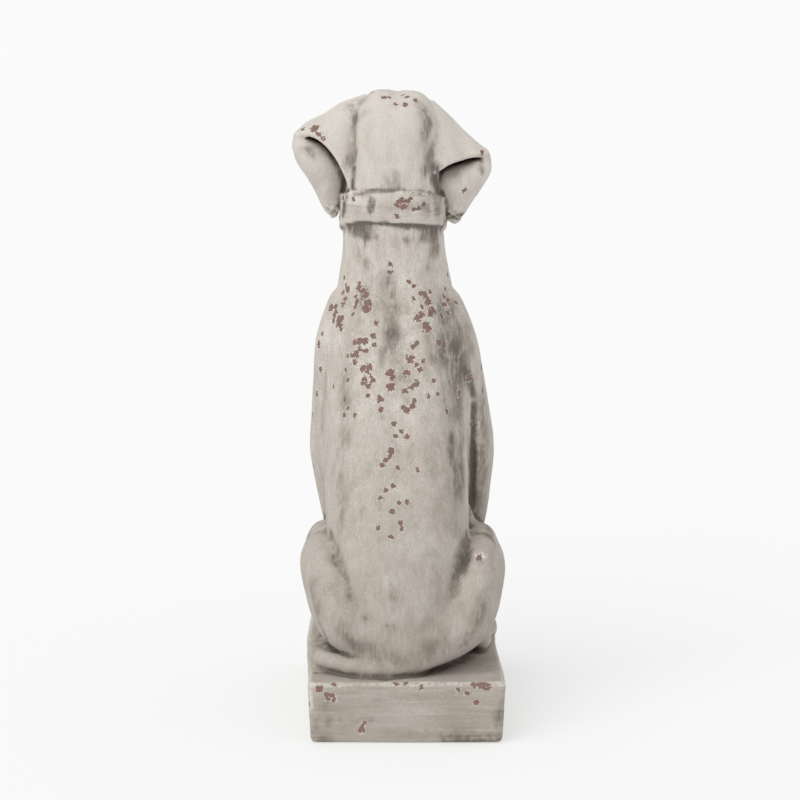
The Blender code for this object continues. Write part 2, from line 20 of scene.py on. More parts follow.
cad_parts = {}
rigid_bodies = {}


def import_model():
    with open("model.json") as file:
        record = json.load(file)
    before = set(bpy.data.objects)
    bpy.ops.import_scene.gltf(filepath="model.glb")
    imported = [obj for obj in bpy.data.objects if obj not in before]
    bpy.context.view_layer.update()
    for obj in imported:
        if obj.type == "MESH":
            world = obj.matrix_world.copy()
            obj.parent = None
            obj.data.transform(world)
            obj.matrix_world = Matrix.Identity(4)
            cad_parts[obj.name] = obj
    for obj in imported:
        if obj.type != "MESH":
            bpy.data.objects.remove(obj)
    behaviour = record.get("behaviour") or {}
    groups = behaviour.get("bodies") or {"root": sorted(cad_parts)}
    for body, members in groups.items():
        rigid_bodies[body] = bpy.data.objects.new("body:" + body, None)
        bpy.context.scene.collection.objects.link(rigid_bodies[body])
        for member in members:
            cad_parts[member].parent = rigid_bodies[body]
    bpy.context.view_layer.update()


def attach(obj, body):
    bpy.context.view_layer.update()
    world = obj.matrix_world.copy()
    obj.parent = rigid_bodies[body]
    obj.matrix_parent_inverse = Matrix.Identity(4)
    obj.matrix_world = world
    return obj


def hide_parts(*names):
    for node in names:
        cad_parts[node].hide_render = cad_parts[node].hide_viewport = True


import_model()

# %% [markdown]
# ## The camera first
#
# The photograph was taken from behind, about 11 degrees above level, with a long lens.
# Setting the camera first lets every later form be checked against the photograph, and lets
# marks be placed by where they are seen.

# %% The photograph's camera
PHOTO_SIDE = 800
FOCAL_PIXELS = 3250.0
LOOKING_DOWN = math.radians(11.0)
CAMERA_PLACE = Vector((0.00592, 3.5357, 1.03447))

lens = bpy.data.cameras.new("photograph")
lens.sensor_width = 36.0
lens.lens = FOCAL_PIXELS / PHOTO_SIDE * lens.sensor_width
camera = bpy.data.objects.new("photograph", lens)
camera.location = CAMERA_PLACE
camera.rotation_euler = (math.pi / 2 - LOOKING_DOWN, 0.0, math.pi)
bpy.context.scene.collection.objects.link(camera)
bpy.context.scene.camera = camera
print("lens", round(lens.lens, 1), "mm, from", [round(v, 2) for v in camera.location], "m")


def sight_line(across, down):
    """The way from the camera through a place in the photograph, in its pixels."""
    half = PHOTO_SIDE / 2
    ray = Vector(((across - half) / FOCAL_PIXELS, (half - down) / FOCAL_PIXELS, -1.0))
    return (camera.rotation_euler.to_matrix() @ ray).normalized()


# %% [markdown]
# ## A sculptor's canon
#
# A figure keeps its proportions when its height is divided into a hundred parts and every
# landmark is written in them: across to the dog's left (+X), forward (-Y), and up from the
# top of the block.

# %% Measures and landmarks
FIGURE_HEIGHT = 0.62
PLINTH_HEIGHT = 0.068
PLINTH_WIDTH = 0.2135
PLINTH_DEPTH = 0.32
PART = FIGURE_HEIGHT / 100


def place(x, forward, up):
    """A landmark given in parts, as a point in metres."""
    return Vector((x * PART, -forward * PART, up * PART + PLINTH_HEIGHT))


def between(rows, t):
    """A smooth curve through rows of numbers, read at t from 0 to the last row."""
    i = min(int(t), len(rows) - 2)
    t -= i
    before, start, end = rows[max(i - 1, 0)], rows[i], rows[i + 1]
    after = rows[min(i + 2, len(rows) - 1)]
    return [
        0.5 * (2 * b + (c - a) * t + (2 * a - 5 * b + 4 * c - d) * t * t
               + (3 * b - a - 3 * c + d) * t * t * t)
        for a, b, c, d in zip(before, start, end, after)
    ]


def curve(rows, steps):
    """The smooth curve through the rows, in so many steps from each row to the next."""
    return [between(rows, i / steps) for i in range((len(rows) - 1) * steps + 1)]


# %% [markdown]
# ## Clay in two kinds of lump
#
# A figure is built up from rolls and balls of clay. A roll is a row of rings with bridged
# sides, a ball is a stretched sphere, and they overlap freely until they get one skin.

# %% Rolls and balls
RING_SIDES = 64
CAP_ANGLES = (0, 25, 48, 68, 83)
THINNEST = 0.05
BALL_SIDES = 40


def ring(bm, centre, across, deep, squareness):
    """One closed section of a roll: a circle stretched to its two half axes."""
    made = bmesh.ops.create_circle(bm, segments=RING_SIDES, radius=1.0)
    power = 2.0 / squareness
    for vert in made["verts"]:
        c, s = vert.co.x, vert.co.y
        c = math.copysign(abs(c) ** power, c)
        s = math.copysign(abs(s) ** power, s)
        vert.co = centre + across * c + deep * s
    return made["verts"]


def edges_of(verts):
    """The edges that join the points of one ring."""
    inside = set(verts)
    return [e for e in {e for v in verts for e in v.link_edges} if set(e.verts) <= inside]


def lay_on(heap, lump):
    """Adds a finished lump to the heap; the lump is used up.

    Each lump is shaped in a bmesh of its own, since operators slow down in a large one."""
    mesh = bpy.data.meshes.new("lump")
    lump.to_mesh(mesh)
    lump.free()
    heap.from_mesh(mesh)
    bpy.data.meshes.remove(mesh)


def roll(heap, stations, steps=6, squareness=2.0, level=False):
    """A roll of clay through stations (x, forward, up, half width, half depth), in parts.

    Its ends are rounded. A level roll keeps its sections horizontal, as a torso does."""
    bm = bmesh.new()
    dense = curve(stations, steps)
    last = len(dense) - 1
    centres = [place(*row[:3]) for row in dense]
    rings = []
    for i, row in enumerate(dense):
        run = (centres[min(i + 1, last)] - centres[max(i - 1, 0)]).normalized()
        if level:
            run = Vector((0, 0, math.copysign(1, run.z)))
        across = Vector((1, 0, 0)) - run * run.x
        across.normalize()
        deep = run.cross(across)
        wide, thick = (max(half, THINNEST) * PART for half in row[3:])
        spread = [(0.0, 1.0)]
        if i in (0, last):
            outward = -1 if i == 0 else 1
            cap = [(math.sin(a), math.cos(a)) for a in map(math.radians, CAP_ANGLES)]
            spread = [(outward * s * min(wide, thick), c) for s, c in cap]
            if i == 0:
                spread.reverse()
        for shift, size in spread:
            centre = centres[i] + run * shift
            rings.append(ring(bm, centre, across * wide * size, deep * thick * size, squareness))
    loops = [edges_of(verts) for verts in rings]
    for lower, upper in zip(loops, loops[1:]):
        bmesh.ops.bridge_loops(bm, edges=lower + upper)
    for loop in (loops[0], loops[-1]):
        bmesh.ops.holes_fill(bm, edges=loop, sides=0)
    lay_on(heap, bm)


def ball(heap, centre, half, pitch=0.0, yaw=0.0, lean=0.0):
    """A ball of clay: centre and half sizes (across, forward, up) in parts, turned in degrees."""
    bm = bmesh.new()
    turn = Matrix.Rotation(math.radians(yaw), 4, "Z")
    turn @= Matrix.Rotation(math.radians(pitch), 4, "X")
    turn @= Matrix.Rotation(math.radians(lean), 4, "Y")
    size = Matrix.Diagonal((half[0] * PART, half[1] * PART, half[2] * PART, 1.0))
    bmesh.ops.create_uvsphere(
        bm, u_segments=BALL_SIDES, v_segments=BALL_SIDES * 2 // 3, radius=1.0,
        matrix=Matrix.Translation(place(*centre)) @ turn @ size,
    )
    lay_on(heap, bm)


# %% [markdown]
# ## From a heap of lumps to one skin
#
# Booleans leave a hard crease wherever two lumps meet. A voxel remesh wraps the whole heap
# in one even skin instead, and a few rounds of smoothing melt the joins together.

# %% One skin over a heap
SMOOTHING = 0.5


def object_from(bm, name):
    """Links a finished bmesh as an object of its own."""
    mesh = bpy.data.meshes.new(name)
    bm.to_mesh(mesh)
    bm.free()
    obj = bpy.data.objects.new(name, mesh)
    bpy.context.scene.collection.objects.link(obj)
    return obj


def evaluated(obj, name):
    """A plain mesh object with the modifiers of obj worked in; obj is used up."""
    bpy.context.view_layer.update()
    graph = bpy.context.evaluated_depsgraph_get()
    mesh = bpy.data.meshes.new_from_object(obj.evaluated_get(graph))
    bpy.data.objects.remove(obj)
    fresh = bpy.data.objects.new(name, mesh)
    bpy.context.scene.collection.objects.link(fresh)
    return fresh


def surface_of(obj, moved=Vector):
    """A tree for casting rays onto the skin of obj, whose points may be moved first."""
    faces = [face.vertices for face in obj.data.polygons]
    return BVHTree.FromPolygons([moved(vert.co) for vert in obj.data.vertices], faces)


def joined(objects, name):
    """Several mesh objects as the shells of one."""
    bm = bmesh.new()
    for obj in objects:
        bm.from_mesh(obj.data)
        bpy.data.objects.remove(obj)
    return object_from(bm, name)


def one_skin(obj, name, grain, rounds):
    """Overlapping shells wrapped in one skin of squares of the grain's size, then smoothed."""
    wrap = obj.modifiers.new("one skin", "REMESH")
    wrap.mode = "VOXEL"
    wrap.voxel_size = grain
    soften = obj.modifiers.new("soften", "SMOOTH")
    soften.factor = SMOOTHING
    soften.iterations = rounds
    return evaluated(obj, name)


# %% [markdown]
# ## Carving with strokes
#
# A stroke is a line of landmarks with a radius and a depth. The skin near it moves in along
# its own normals, most at the middle of the line. A depth below zero raises a ridge.

# %% Strokes
STROKE_STEPS = 8


def points_of(mesh):
    """The mesh's points and their normals, as two arrays."""
    count = len(mesh.vertices)
    points = np.empty(count * 3, dtype=np.float32)
    normals = np.empty(count * 3, dtype=np.float32)
    mesh.vertices.foreach_get("co", points)
    mesh.vertices.foreach_get("normal", normals)
    return points.reshape(count, 3).astype(float), normals.reshape(count, 3).astype(float)


def far_from(spot, points):
    """The square of each point's distance from the spot."""
    gap = points - np.array(spot)
    return (gap * gap).sum(axis=1)


def nearness(points, path, radius):
    """How near each point is to a path of landmarks: 1 on it, 0 at the radius, in parts."""
    far = np.full(len(points), 1.0)
    for landmark in curve(path, STROKE_STEPS):
        far = np.minimum(far, far_from(place(*landmark), points) / (radius * PART) ** 2)
    return 1.0 - far


def push_in(obj, points, normals, depths):
    """Moves each point of obj inwards by its own depth, in metres."""
    obj.data.vertices.foreach_set("co", (points - normals * depths[:, None]).astype(np.float32).ravel())
    obj.data.update()


def carve(obj, strokes):
    """Works every stroke (path, radius, depth), in parts, into the skin of obj."""
    points, normals = points_of(obj.data)
    depths = np.zeros(len(points))
    for path, radius, depth in strokes:
        near = nearness(points, path, radius)
        depths += near * near * depth * PART
    push_in(obj, points, normals, depths)


def both_sides(strokes):
    """The strokes and their mirror images on the dog's right."""
    mirrored = [([(-x, f, u) for x, f, u in path], radius, depth) for path, radius, depth in strokes]
    return strokes + mirrored


# %% [markdown]
# ## A wet finger
#
# Some joins of the real dog stay sharp and others are rubbed smooth. A vertex group tells
# the Smooth modifier where to work, so one join melts and the next is left alone.

# %% Melt along paths
def melt(obj, paths, rounds):
    """Smooths the skin near each (path, radius), in parts, and leaves the rest."""
    points = points_of(obj.data)[0]
    wet = np.zeros(len(points))
    for path, radius in paths:
        wet = np.maximum(wet, nearness(points, path, radius))
    group = obj.vertex_groups.new(name="wet")
    for index in np.nonzero(wet > 0)[0]:
        group.add([int(index)], min(1.0, 2.0 * float(wet[index])), "REPLACE")
    rub = obj.modifiers.new("wet finger", "SMOOTH")
    rub.factor = SMOOTHING
    rub.iterations = rounds
    rub.vertex_group = "wet"
    return evaluated(obj, obj.name)


# %% [markdown]
# ## Trunk
#
# A sitting hound's back is one long slope from the withers to the rump, and its chest hangs
# deep in front. Level sections, stacked from the seat to the neck, hold that profile best.

# %% Rump, ribs and neck
TRUNK = [
    # up, back, front, half width, how far the middle lies to the left
    (0, -17.5, -8, 4.2, 0), (2, -20.6, -5, 7, 0), (5, -22.6, -2, 9.2, 0), (9, -23.8, 1, 10.8, 0.2),
    (13, -23.8, 3, 11.9, 0.4), (18, -22.8, 5, 12.5, 0.6), (24, -20.9, 8, 12.7, 0.7),
    (31, -18.5, 11.6, 12.8, 0.7), (38, -16.1, 14.4, 12.8, 0.6), (46, -13.4, 16.6, 12.6, 0.4),
    (54, -10.9, 17.7, 12.2, 0.1), (60, -9, 17, 11.2, 0), (66, -7.4, 15.2, 10.1, 0),
    (72, -6.2, 13.4, 9.1, 0), (79, -5.4, 12.4, 8.9, 0), (85, -5.4, 11.8, 8.1, 0),
    (89, -5.4, 10, 7.6, 0), (92.2, -5.2, 7.8, 7, 0),
]
SEAT = [
    # the bowl in which rump and haunches join
    (0.3, -22.4, -8.0, 3.4, 0.0), (1.4, -23.3, -5.0, 7.0, 0.0), (2.7, -23.7, -3.0, 10.8, 0.0),
    (4.6, -23.8, -1.0, 14.0, 0.0), (7.4, -23.5, 1.0, 16.0, 0.0), (10.8, -22.6, 3.0, 16.7, 0.0),
    (14.4, -20.8, 3.0, 15.6, 0.0), (18.5, -17.0, 2.0, 12.6, 0.2),
]


def level_stations(profile):
    """Stations for a level roll from rows of the trunk's kind."""
    return [
        (to_left, (back + front) / 2, up, half, (front - back) / 2)
        for up, back, front, half, to_left in profile
    ]


def trunk(heap):
    """The long form of the body, and the seat under it."""
    roll(heap, level_stations(TRUNK), steps=4, squareness=2.25, level=True)
    roll(heap, level_stations(SEAT), steps=4, squareness=2.3, level=True)


# %% [markdown]
# ## Forelegs
#
# The upper arm hugs the ribs and is widest at the triceps; below the elbow the leg is a
# straight column that leans forward to the paw. The right arm stands out a little further.

# %% Shoulders and forelegs
RIGHT_ARM_SPREAD = 1.0
RIGHT_ARM_FORWARD = 2.6


def on_side(side, rows):
    """Rows that start with a distance from the middle, on the dog's left (1) or right (-1)."""
    return [(side * out, *rest) for out, *rest in rows]


def foreleg(heap, side):
    """The muscle of the shoulder, and the leg from the triceps down to the paw."""
    out, on = (RIGHT_ARM_SPREAD, RIGHT_ARM_FORWARD) if side < 0 else (0.0, 0.0)
    ball(heap, (side * 7.4, 8.4, 57.0), (4.8, 6.2, 8.4), pitch=20)
    roll(heap, on_side(side, [
        (8.2, 1.0, 61.5, 4.1, 6.0), (9.6, 2.6, 55.0, 4.9, 7.4),
        (10.2 + out / 2, 3.4 + on * 0.4, 47.5, 5.0, 7.2),
        (11.0 + out * 0.8, 3.4 + on * 0.8, 41.0, 4.8, 6.0),
        (11.8 + out, 4.2 + on, 35.5, 4.4, 4.9), (11.5 + out, 6.0 + on * 0.8, 29.0, 4.0, 4.3),
        (10.8 + out, 8.2 + on * 0.4, 22.0, 3.6, 3.8), (10.3, 10.4, 15.0, 3.2, 3.3),
        (9.9, 11.9, 9.5, 3.4, 3.4), (9.8, 13.6, 4.5, 3.4, 3.2),
    ]))


# %% [markdown]
# ## Haunches
#
# Folded for sitting, the hind leg is a big rounded thigh over a shank that runs back to the
# hock and a long foot flat on the block. The thigh is a stack of level sections too.

# %% Hind legs
RIGHT_HAUNCH_HEIGHT = 0.98
RIGHT_FOOT_BACK = 4.4
LEFT_FOOT_INWARD = 1.2
HAUNCH = [
    # up, back, front, half width, how far its middle lies from the middle of the dog
    (3.2, -19.2, 1.5, 2.2, 8.8), (4.6, -21.2, 3.4, 4.2, 9.4), (6.4, -22.2, 5.2, 5.5, 10),
    (9, -22.7, 7, 6.3, 10.4), (12, -22.3, 8.6, 6.7, 10.8), (15.2, -20.9, 9.6, 6.9, 11.3),
    (17.6, -19, 9.4, 5.9, 12.4), (19.5, -16.8, 8.8, 3.5, 13.8),
]


def hind_leg(heap, side):
    """Haunch and flank, then the shank over the long foot."""
    tall, heel, inward = 1.0, 0.0, LEFT_FOOT_INWARD
    if side < 0:
        tall, heel, inward = RIGHT_HAUNCH_HEIGHT, RIGHT_FOOT_BACK, 0.0
    rows = [(up * tall, back, front, half, side * out) for up, back, front, half, out in HAUNCH]
    roll(heap, level_stations(rows), steps=5, squareness=2.3, level=True)
    ball(heap, (side * 9.9, 2.8, 21.5), (3.3, 4.6, 5.6))
    roll(heap, on_side(side, [
        (13.2 - inward, 4.0, 11.0, 3.2, 4.4), (13.0 - inward, -2.0, 7.6, 3.2, 4.2),
        (12.4 - inward, -8.0, 5.0, 2.6, 3.4),
    ]))
    roll(heap, on_side(side, [
        (13.4 - inward, -heel, 2.2, 2.3, 2.2), (13.5 - inward, 2.0 - heel / 2, 2.0, 2.5, 2.1),
        (13.6 - inward, 4.0, 2.0, 2.6, 2.0),
    ]))


# %% [markdown]
# ## Paws
#
# A paw is a pad with four toes, the middle two reaching further. Each toe is two balls, the
# tip and the knuckle over it, with a small claw.

# %% Four paws with toes and claws
def paw(heap, x, forward, width, length, height):
    """A paw flat on the block: a pad, four toes fanned a little, and their claws."""
    def lump(across, on, up, half, **turned):
        """A ball whose place and half sizes are shares of the paw's own size."""
        half = (half[0] * width, half[1] * length, half[2] * height)
        ball(heap, (x + across * width, forward + on * length, up * height), half, **turned)

    lump(0, -0.12, 0.44, (0.46, 0.38, 0.54))
    for toe in (-1.5, -0.5, 0.5, 1.5):
        across, reach = toe * 0.25, 0.25 if abs(toe) < 1 else 0.16
        lump(across, reach, 0.32, (0.15, 0.26, 0.40), yaw=-toe * 6)
        lump(across, reach + 0.04, 0.50, (0.12, 0.12, 0.26), yaw=-toe * 6)
        lump(across, reach + 0.25, 0.20, (0.035, 0.07, 0.10), pitch=-20)


def paws(heap):
    """The four paws."""
    for side in (1, -1):
        paw(heap, side * 9.9, 16.4, width=8.0, length=13.0, height=6.4)
        out = 13.6 - LEFT_FOOT_INWARD if side > 0 else 13.6
        paw(heap, side * out, 5.6, width=6.0, length=11.0, height=4.6)


# %% [markdown]
# ## Tail
#
# The tail comes out under the rump and curls forward on the dog's left: one roll that gets
# thinner towards its tip, on a low bed of clay that ties it to the haunch.

# %% Tail
TAIL_THICKNESS = 0.021
TAIL_PATH = [
    # across, forward, and the thickness there as a share of the full one
    (-1.5, -20.6, 1.25), (4, -21.9, 1.10), (9.2, -20.7, 1.02), (13, -17.6, 0.96), (15.5, -13.2, 0.90),
    (15.9, -8, 0.84), (15.8, -2.6, 0.74), (15.3, 2.4, 0.52),
]


def tail(heap):
    """The tail along its path, half sunk in a low bed."""
    path = [(x, forward, TAIL_THICKNESS / PART / 2 * share) for x, forward, share in TAIL_PATH]
    roll(heap, [(x, forward, half * 0.97, half, half) for x, forward, half in path])
    ball(heap, (11.6, -9.5, 1.0), (5.2, 10.0, 2.6))


# %% [markdown]
# ## Head
#
# The photograph shows the back of the head: a broad skull with two low bumps and a furrow
# between them. The hidden face is a plain hound's in keeping: a deep square muzzle with
# hanging lips, a stop between the eyes and soft brows.

# %% Skull and muzzle
HEAD_ROLLS = [
    # forward, top, bottom, half width: the cranium, then the muzzle, then its bridge
    [(2, 99.7, 82, 7.7), (5, 100.1, 81.2, 7.9), (7.6, 98.9, 81.2, 7.6)],
    [(7, 91.8, 81.6, 5.8), (12, 92.2, 81.6, 5.4), (16, 92.2, 81.8, 5), (19.6, 92, 82.8, 4.5)],
    [(9, 95.6, 86, 3.8), (14, 94.3, 86.6, 3.6), (18, 93.7, 86.6, 3.4), (21, 93.1, 87.4, 3.1)],
]
HEAD_BALLS = [
    # on both sides: bumps of the skull, brows, cheeks, cheekbones, lips
    ((2.6, 3.4, 96.5), (3.8, 5.6, 3.7)), ((3.9, 10.4, 95.6), (2.8, 2.8, 1.9)),
    ((5.8, 8, 87), (2.8, 5.2, 5.2)), ((5.6, 9.2, 91), (1.9, 4.2, 1.7)),
    ((2.9, 17.8, 86.2), (2.7, 6.4, 4.4)),
]


def head(heap):
    """The rolls of the head, and the balls laid on them: the nose, the jaw and pairs."""
    for rows in HEAD_ROLLS:
        stations = [(0.0, f, (top + low) / 2, wide, (top - low) / 2) for f, top, low, wide in rows]
        roll(heap, stations, squareness=2.9)
    ball(heap, (0.0, 22.7, 90.8), (3.2, 2.5, 2.5))
    ball(heap, (0.0, 15.4, 82.6), (3.6, 5.6, 1.9))
    for side in (1, -1):
        for (out, forward, up), half in HEAD_BALLS:
            ball(heap, (side * out, forward, up), half)


# %% The thick middles of the ears
LEFT_EAR_PAD = [
    # up, back, front, half width, how far its middle lies from the middle of the dog
    (91, 2, 5.6, 1, 16.6), (89.9, 1.2, 6.6, 2.6, 15.5), (88.2, 0.6, 7.2, 3.7, 14.3),
    (86.2, 0.5, 7.5, 4.2, 13), (83.6, 1.1, 7.6, 3.4, 11.9), (81.4, 1.6, 7.6, 2.4, 11.3),
    (79.2, 2.6, 7.2, 1.6, 10.9), (77.8, 3.6, 6.4, 0.8, 10.7),
]
RIGHT_EAR_PAD = [
    (88.6, 2.2, 5.4, 1, 15.7), (87.6, 1.2, 6.6, 2.8, 14.4), (86.1, 0.6, 7.2, 4.4, 12.7),
    (83.9, 0.6, 7.6, 4.4, 11.6), (81.1, 1.5, 7.6, 3.1, 11.4), (78.5, 2.4, 7.2, 1.8, 11.2),
    (77.5, 3.2, 6.6, 1.2, 11),
]


def ear_pads(heap):
    """The thick middle of each hanging flap, from the ear's corner down to its tip."""
    roll(heap, level_stations(LEFT_EAR_PAD), level=True)
    roll(heap, on_side(-1, level_stations(RIGHT_EAR_PAD)), level=True)


# %% [markdown]
# ## Ears
#
# Each ear is a folded sheet: it leaves the skull like the side of a tent, turns over in
# front and hangs as a flap, so from behind one looks into the fold. A grid is bent through
# landmarks, and Solidify gives the sheet its thickness.

# %% Landmarks of the ears
# Rows run from the skull out to the ear's corner. In a row, the points run from the rear
# rim over the fold to the lower edge of the hanging flap.
LEFT_EAR = [
    [(7.6, -1.9, 82.4), (6.6, 0, 92), (5.2, 4.4, 98.7), (7.4, 9.4, 94), (7.2, 10.6, 86)],
    [(9.9, -1.4, 87.2), (9.8, 0.4, 93.2), (9.4, 4.7, 97.1), (10.8, 10.8, 89.6), (8.9, 10.6, 79.3)],
    [(12.7, -0.6, 90.6), (12.7, 1.3, 92.8), (12.6, 4.9, 94.7), (13.8, 9.4, 87), (11.1, 8.4, 76.9)],
    [(15.2, 0.8, 91.6), (15.3, 2.2, 92.7), (15.5, 4.8, 93), (16.1, 7.2, 87.6), (13.3, 6, 81.2)],
    [(17.4, 2.2, 91), (17.6, 3, 91.2), (18, 4, 90.8), (18.1, 4.6, 89.4), (17, 3.8, 87.2)],
]
RIGHT_EAR = [
    [(6.8, -1.8, 85.8), (6.6, 0, 92), (5.8, 4.4, 98.4), (7.4, 9.4, 93.4), (7.2, 10.6, 86)],
    [(9.4, -1.4, 87.7), (9, 0.4, 92.3), (8.5, 4.7, 96.1), (10.4, 10.6, 89.2), (8.6, 10.4, 79.6)],
    [(11.7, -0.6, 88.7), (11.5, 1.3, 91), (11.5, 4.9, 93.2), (13.5, 9.4, 86.6), (11.1, 8.4, 76.9)],
    [(14, 0.8, 89.3), (14, 2.2, 90.4), (14.1, 4.8, 91), (15.5, 7.2, 86.8), (14, 6.2, 80.5)],
    [(16, 2.2, 89.3), (16.3, 3, 89.6), (16.5, 4, 89.4), (16.8, 4.6, 88.2), (16.4, 3.8, 85.6)],
]

# %% Bend a sheet into an ear
EAR_THICKNESS = 0.007
EAR_GRID = 24


def ear(name, side, rows):
    """One ear: a sheet drawn smoothly through its landmarks, then given its thickness."""
    bm = bmesh.new()
    made = bmesh.ops.create_grid(bm, x_segments=EAR_GRID, y_segments=EAR_GRID, size=1.0)
    for vert in made["verts"]:
        along = (vert.co.x + 1) / 2 * (len(rows) - 1)
        over = (vert.co.y + 1) / 2 * (len(rows[0]) - 1)
        across, forward, up = between([between(row, over) for row in rows], along)
        vert.co = place(side * across, forward, up)
    bmesh.ops.recalc_face_normals(bm, faces=bm.faces[:])
    obj = object_from(bm, name)
    thicken = obj.modifiers.new("thickness", "SOLIDIFY")
    thicken.thickness = EAR_THICKNESS
    thicken.offset = 0.0
    rounded = obj.modifiers.new("rounded rim", "SUBSURF")
    rounded.levels = rounded.render_levels = 1
    return evaluated(obj, name)


# %% [markdown]
# ## The body's carving
#
# Trunk, forelegs and hind legs are each softened alone, then laid together under one finer
# skin, so the joins between them stay crisp. The wet finger melts the shoulders and the
# lower ends of the haunch creases.

# %% Model and carve the body
# the size of the skin's squares, and the rounds of smoothing
LIMB_GRAIN, LIMB_ROUNDS = 0.0032, 12
BODY_GRAIN, BODY_ROUNDS = 0.0022, 3
MELT_ROUNDS = 30
BODY_MELTS = [
    ([(-9, -3, 67), (-10, -5, 60), (-10.8, -5, 52)], 6.5),
    ([(9, -3, 67), (10.5, -5, 60), (12, -5, 52), (12.8, -4, 44)], 6.5),
    ([(13, -3, 36), (13, -3, 26)], 3), ([(9.4, -20, 13), (8.6, -21, 9), (7, -22, 4)], 4.5),
    ([(-9, -20, 13), (-8.6, -21, 9), (-7, -22, 4)], 4.5),
    ([(17, -8, 9), (15.5, -16, 6), (10.5, -21, 3.6)], 4),
    ([(-17, -8, 9), (-15.5, -16, 6), (-10.5, -21, 3.6)], 4),
]
BODY_STROKES = [
    ([(0, -7.5, 67), (0, -10.5, 56), (0, -13.5, 46), (0, -17.5, 34)], 4.4, 0.7),
    ([(-9.4, -8, 54), (-11.2, -7.4, 50), (-12.4, -6, 46)], 3.4, 0.9),
    ([(-12.6, -3.6, 44), (-12.6, -2.6, 38), (-12.4, -2, 31), (-12.2, -1.6, 24)], 1.6, 1.2),
] + both_sides([
    ([(5.4, -6.8, 63.0), (6.6, -8.6, 57.0), (7.4, -10.0, 51.0)], 4.4, -0.6),
])

heaps = {name: bmesh.new() for name in ("trunk", "forelegs", "hind legs")}
trunk(heaps["trunk"])
for side in (1, -1):
    foreleg(heaps["forelegs"], side)
    hind_leg(heaps["hind legs"], side)
skins = [
    one_skin(object_from(heap, name), name, LIMB_GRAIN, LIMB_ROUNDS) for name, heap in heaps.items()
]
body = one_skin(joined(skins, "body"), "soft body", BODY_GRAIN, BODY_ROUNDS)
body = melt(body, BODY_MELTS, MELT_ROUNDS)
carve(body, BODY_STROKES)
print("body:", len(body.data.polygons), "faces")

# %% [markdown]
# ## The head's carving
#
# The head is worked in a finer skin than the body, since its forms are smaller. A stroke on
# the face is placed as it is seen from the front: its points (across, up) are cast
# backwards onto the skin. The eyeballs stand a little out of their sockets.

# %% Model and carve the head
HEAD_GRAIN, HEAD_ROUNDS = 0.0018, 16
SKULL_FURROW = ([(0.0, -3.5, 96.5), (0.0, 4.0, 99.4), (0.0, 11.0, 97.4), (0.0, 14.5, 94.6)], 2.0, 0.4)
MOUTH = ([(5.8, 11.5, 84.9), (5.8, 14.5, 83.9), (5.2, 18.0, 83.8), (3.8, 21.6, 84.8)], 0.9, 0.75)
EYE_AT = (5.0, 92.4)
EYE_SIZE, EYE_OUT = 1.75, 0.80
BEFORE_THE_FACE = 40.0
FACE_STROKES = [
    # the socket, the upper and the lower lid
    ([(5, 92.5)], 3, 0.85),
    ([(3.1, 91.9), (3.9, 93.8), (5.3, 94.5), (6.7, 93.5), (7.2, 91.9)], 1, -0.95),
    ([(3.1, 91.7), (4.2, 90.5), (5.6, 90.2), (7, 91.4)], 0.9, -0.70),
    # the tear line beside the muzzle, the wing of the nose and its nostril
    ([(3.4, 91.4), (4.2, 89.2), (5.2, 87.4)], 1.3, 0.35),
    ([(1, 90.1), (1.7, 90.9), (2.3, 91.2)], 0.9, 1.25),
]
PHILTRUM = ([(0.0, 89.4), (0.0, 87.6), (0.0, 85.2)], 0.7, 0.65)


def before_face(skin, across, up):
    """Where a ray from straight ahead meets the face, and the skin's direction there."""
    return skin.ray_cast(place(across, BEFORE_THE_FACE, up), Vector((0.0, 1.0, 0.0)))[:2]


def faced(skin, path):
    """A path as it is seen from the front, laid on the face, in landmarks."""
    spots = [(across, up, before_face(skin, across, up)[0]) for across, up in path]
    return [(across, -spot.y / PART, up) for across, up, spot in spots if spot]


def eyes(heap, skin):
    """The two eyeballs."""
    spot, out = before_face(skin, *EYE_AT)
    middle = spot - out * (EYE_SIZE - EYE_OUT) * PART
    for side in (1, -1):
        centre = (side * middle.x / PART, -middle.y / PART, (middle.z - PLINTH_HEIGHT) / PART)
        ball(heap, centre, (EYE_SIZE, EYE_SIZE, EYE_SIZE))


heap = bmesh.new()
head(heap)
skull = one_skin(object_from(heap, "head"), "soft head", HEAD_GRAIN, HEAD_ROUNDS)
face = surface_of(skull)
face_strokes = [(faced(face, path), *rest) for path, *rest in FACE_STROKES]
philtrum = (faced(face, PHILTRUM[0]), *PHILTRUM[1:])
carve(skull, [SKULL_FURROW] + both_sides([MOUTH]) + both_sides(face_strokes) + [philtrum])
print("head:", len(skull.data.polygons), "faces")

# %% [markdown]
# ## Collar
#
# The rings of this flat band are cast outwards from the middle of the neck until they meet
# the skin, then stand proud of it, so the band fits however the neck is shaped.

# %% Fit the collar to the neck
COLLAR_HEIGHT = 0.034
COLLAR_PROUD = 0.0040
COLLAR_AT = (0.0, 4.0, 78.2)
COLLAR_TILT = 14.0
COLLAR_SIDES = 120
COLLAR_WAVE = 0.0009


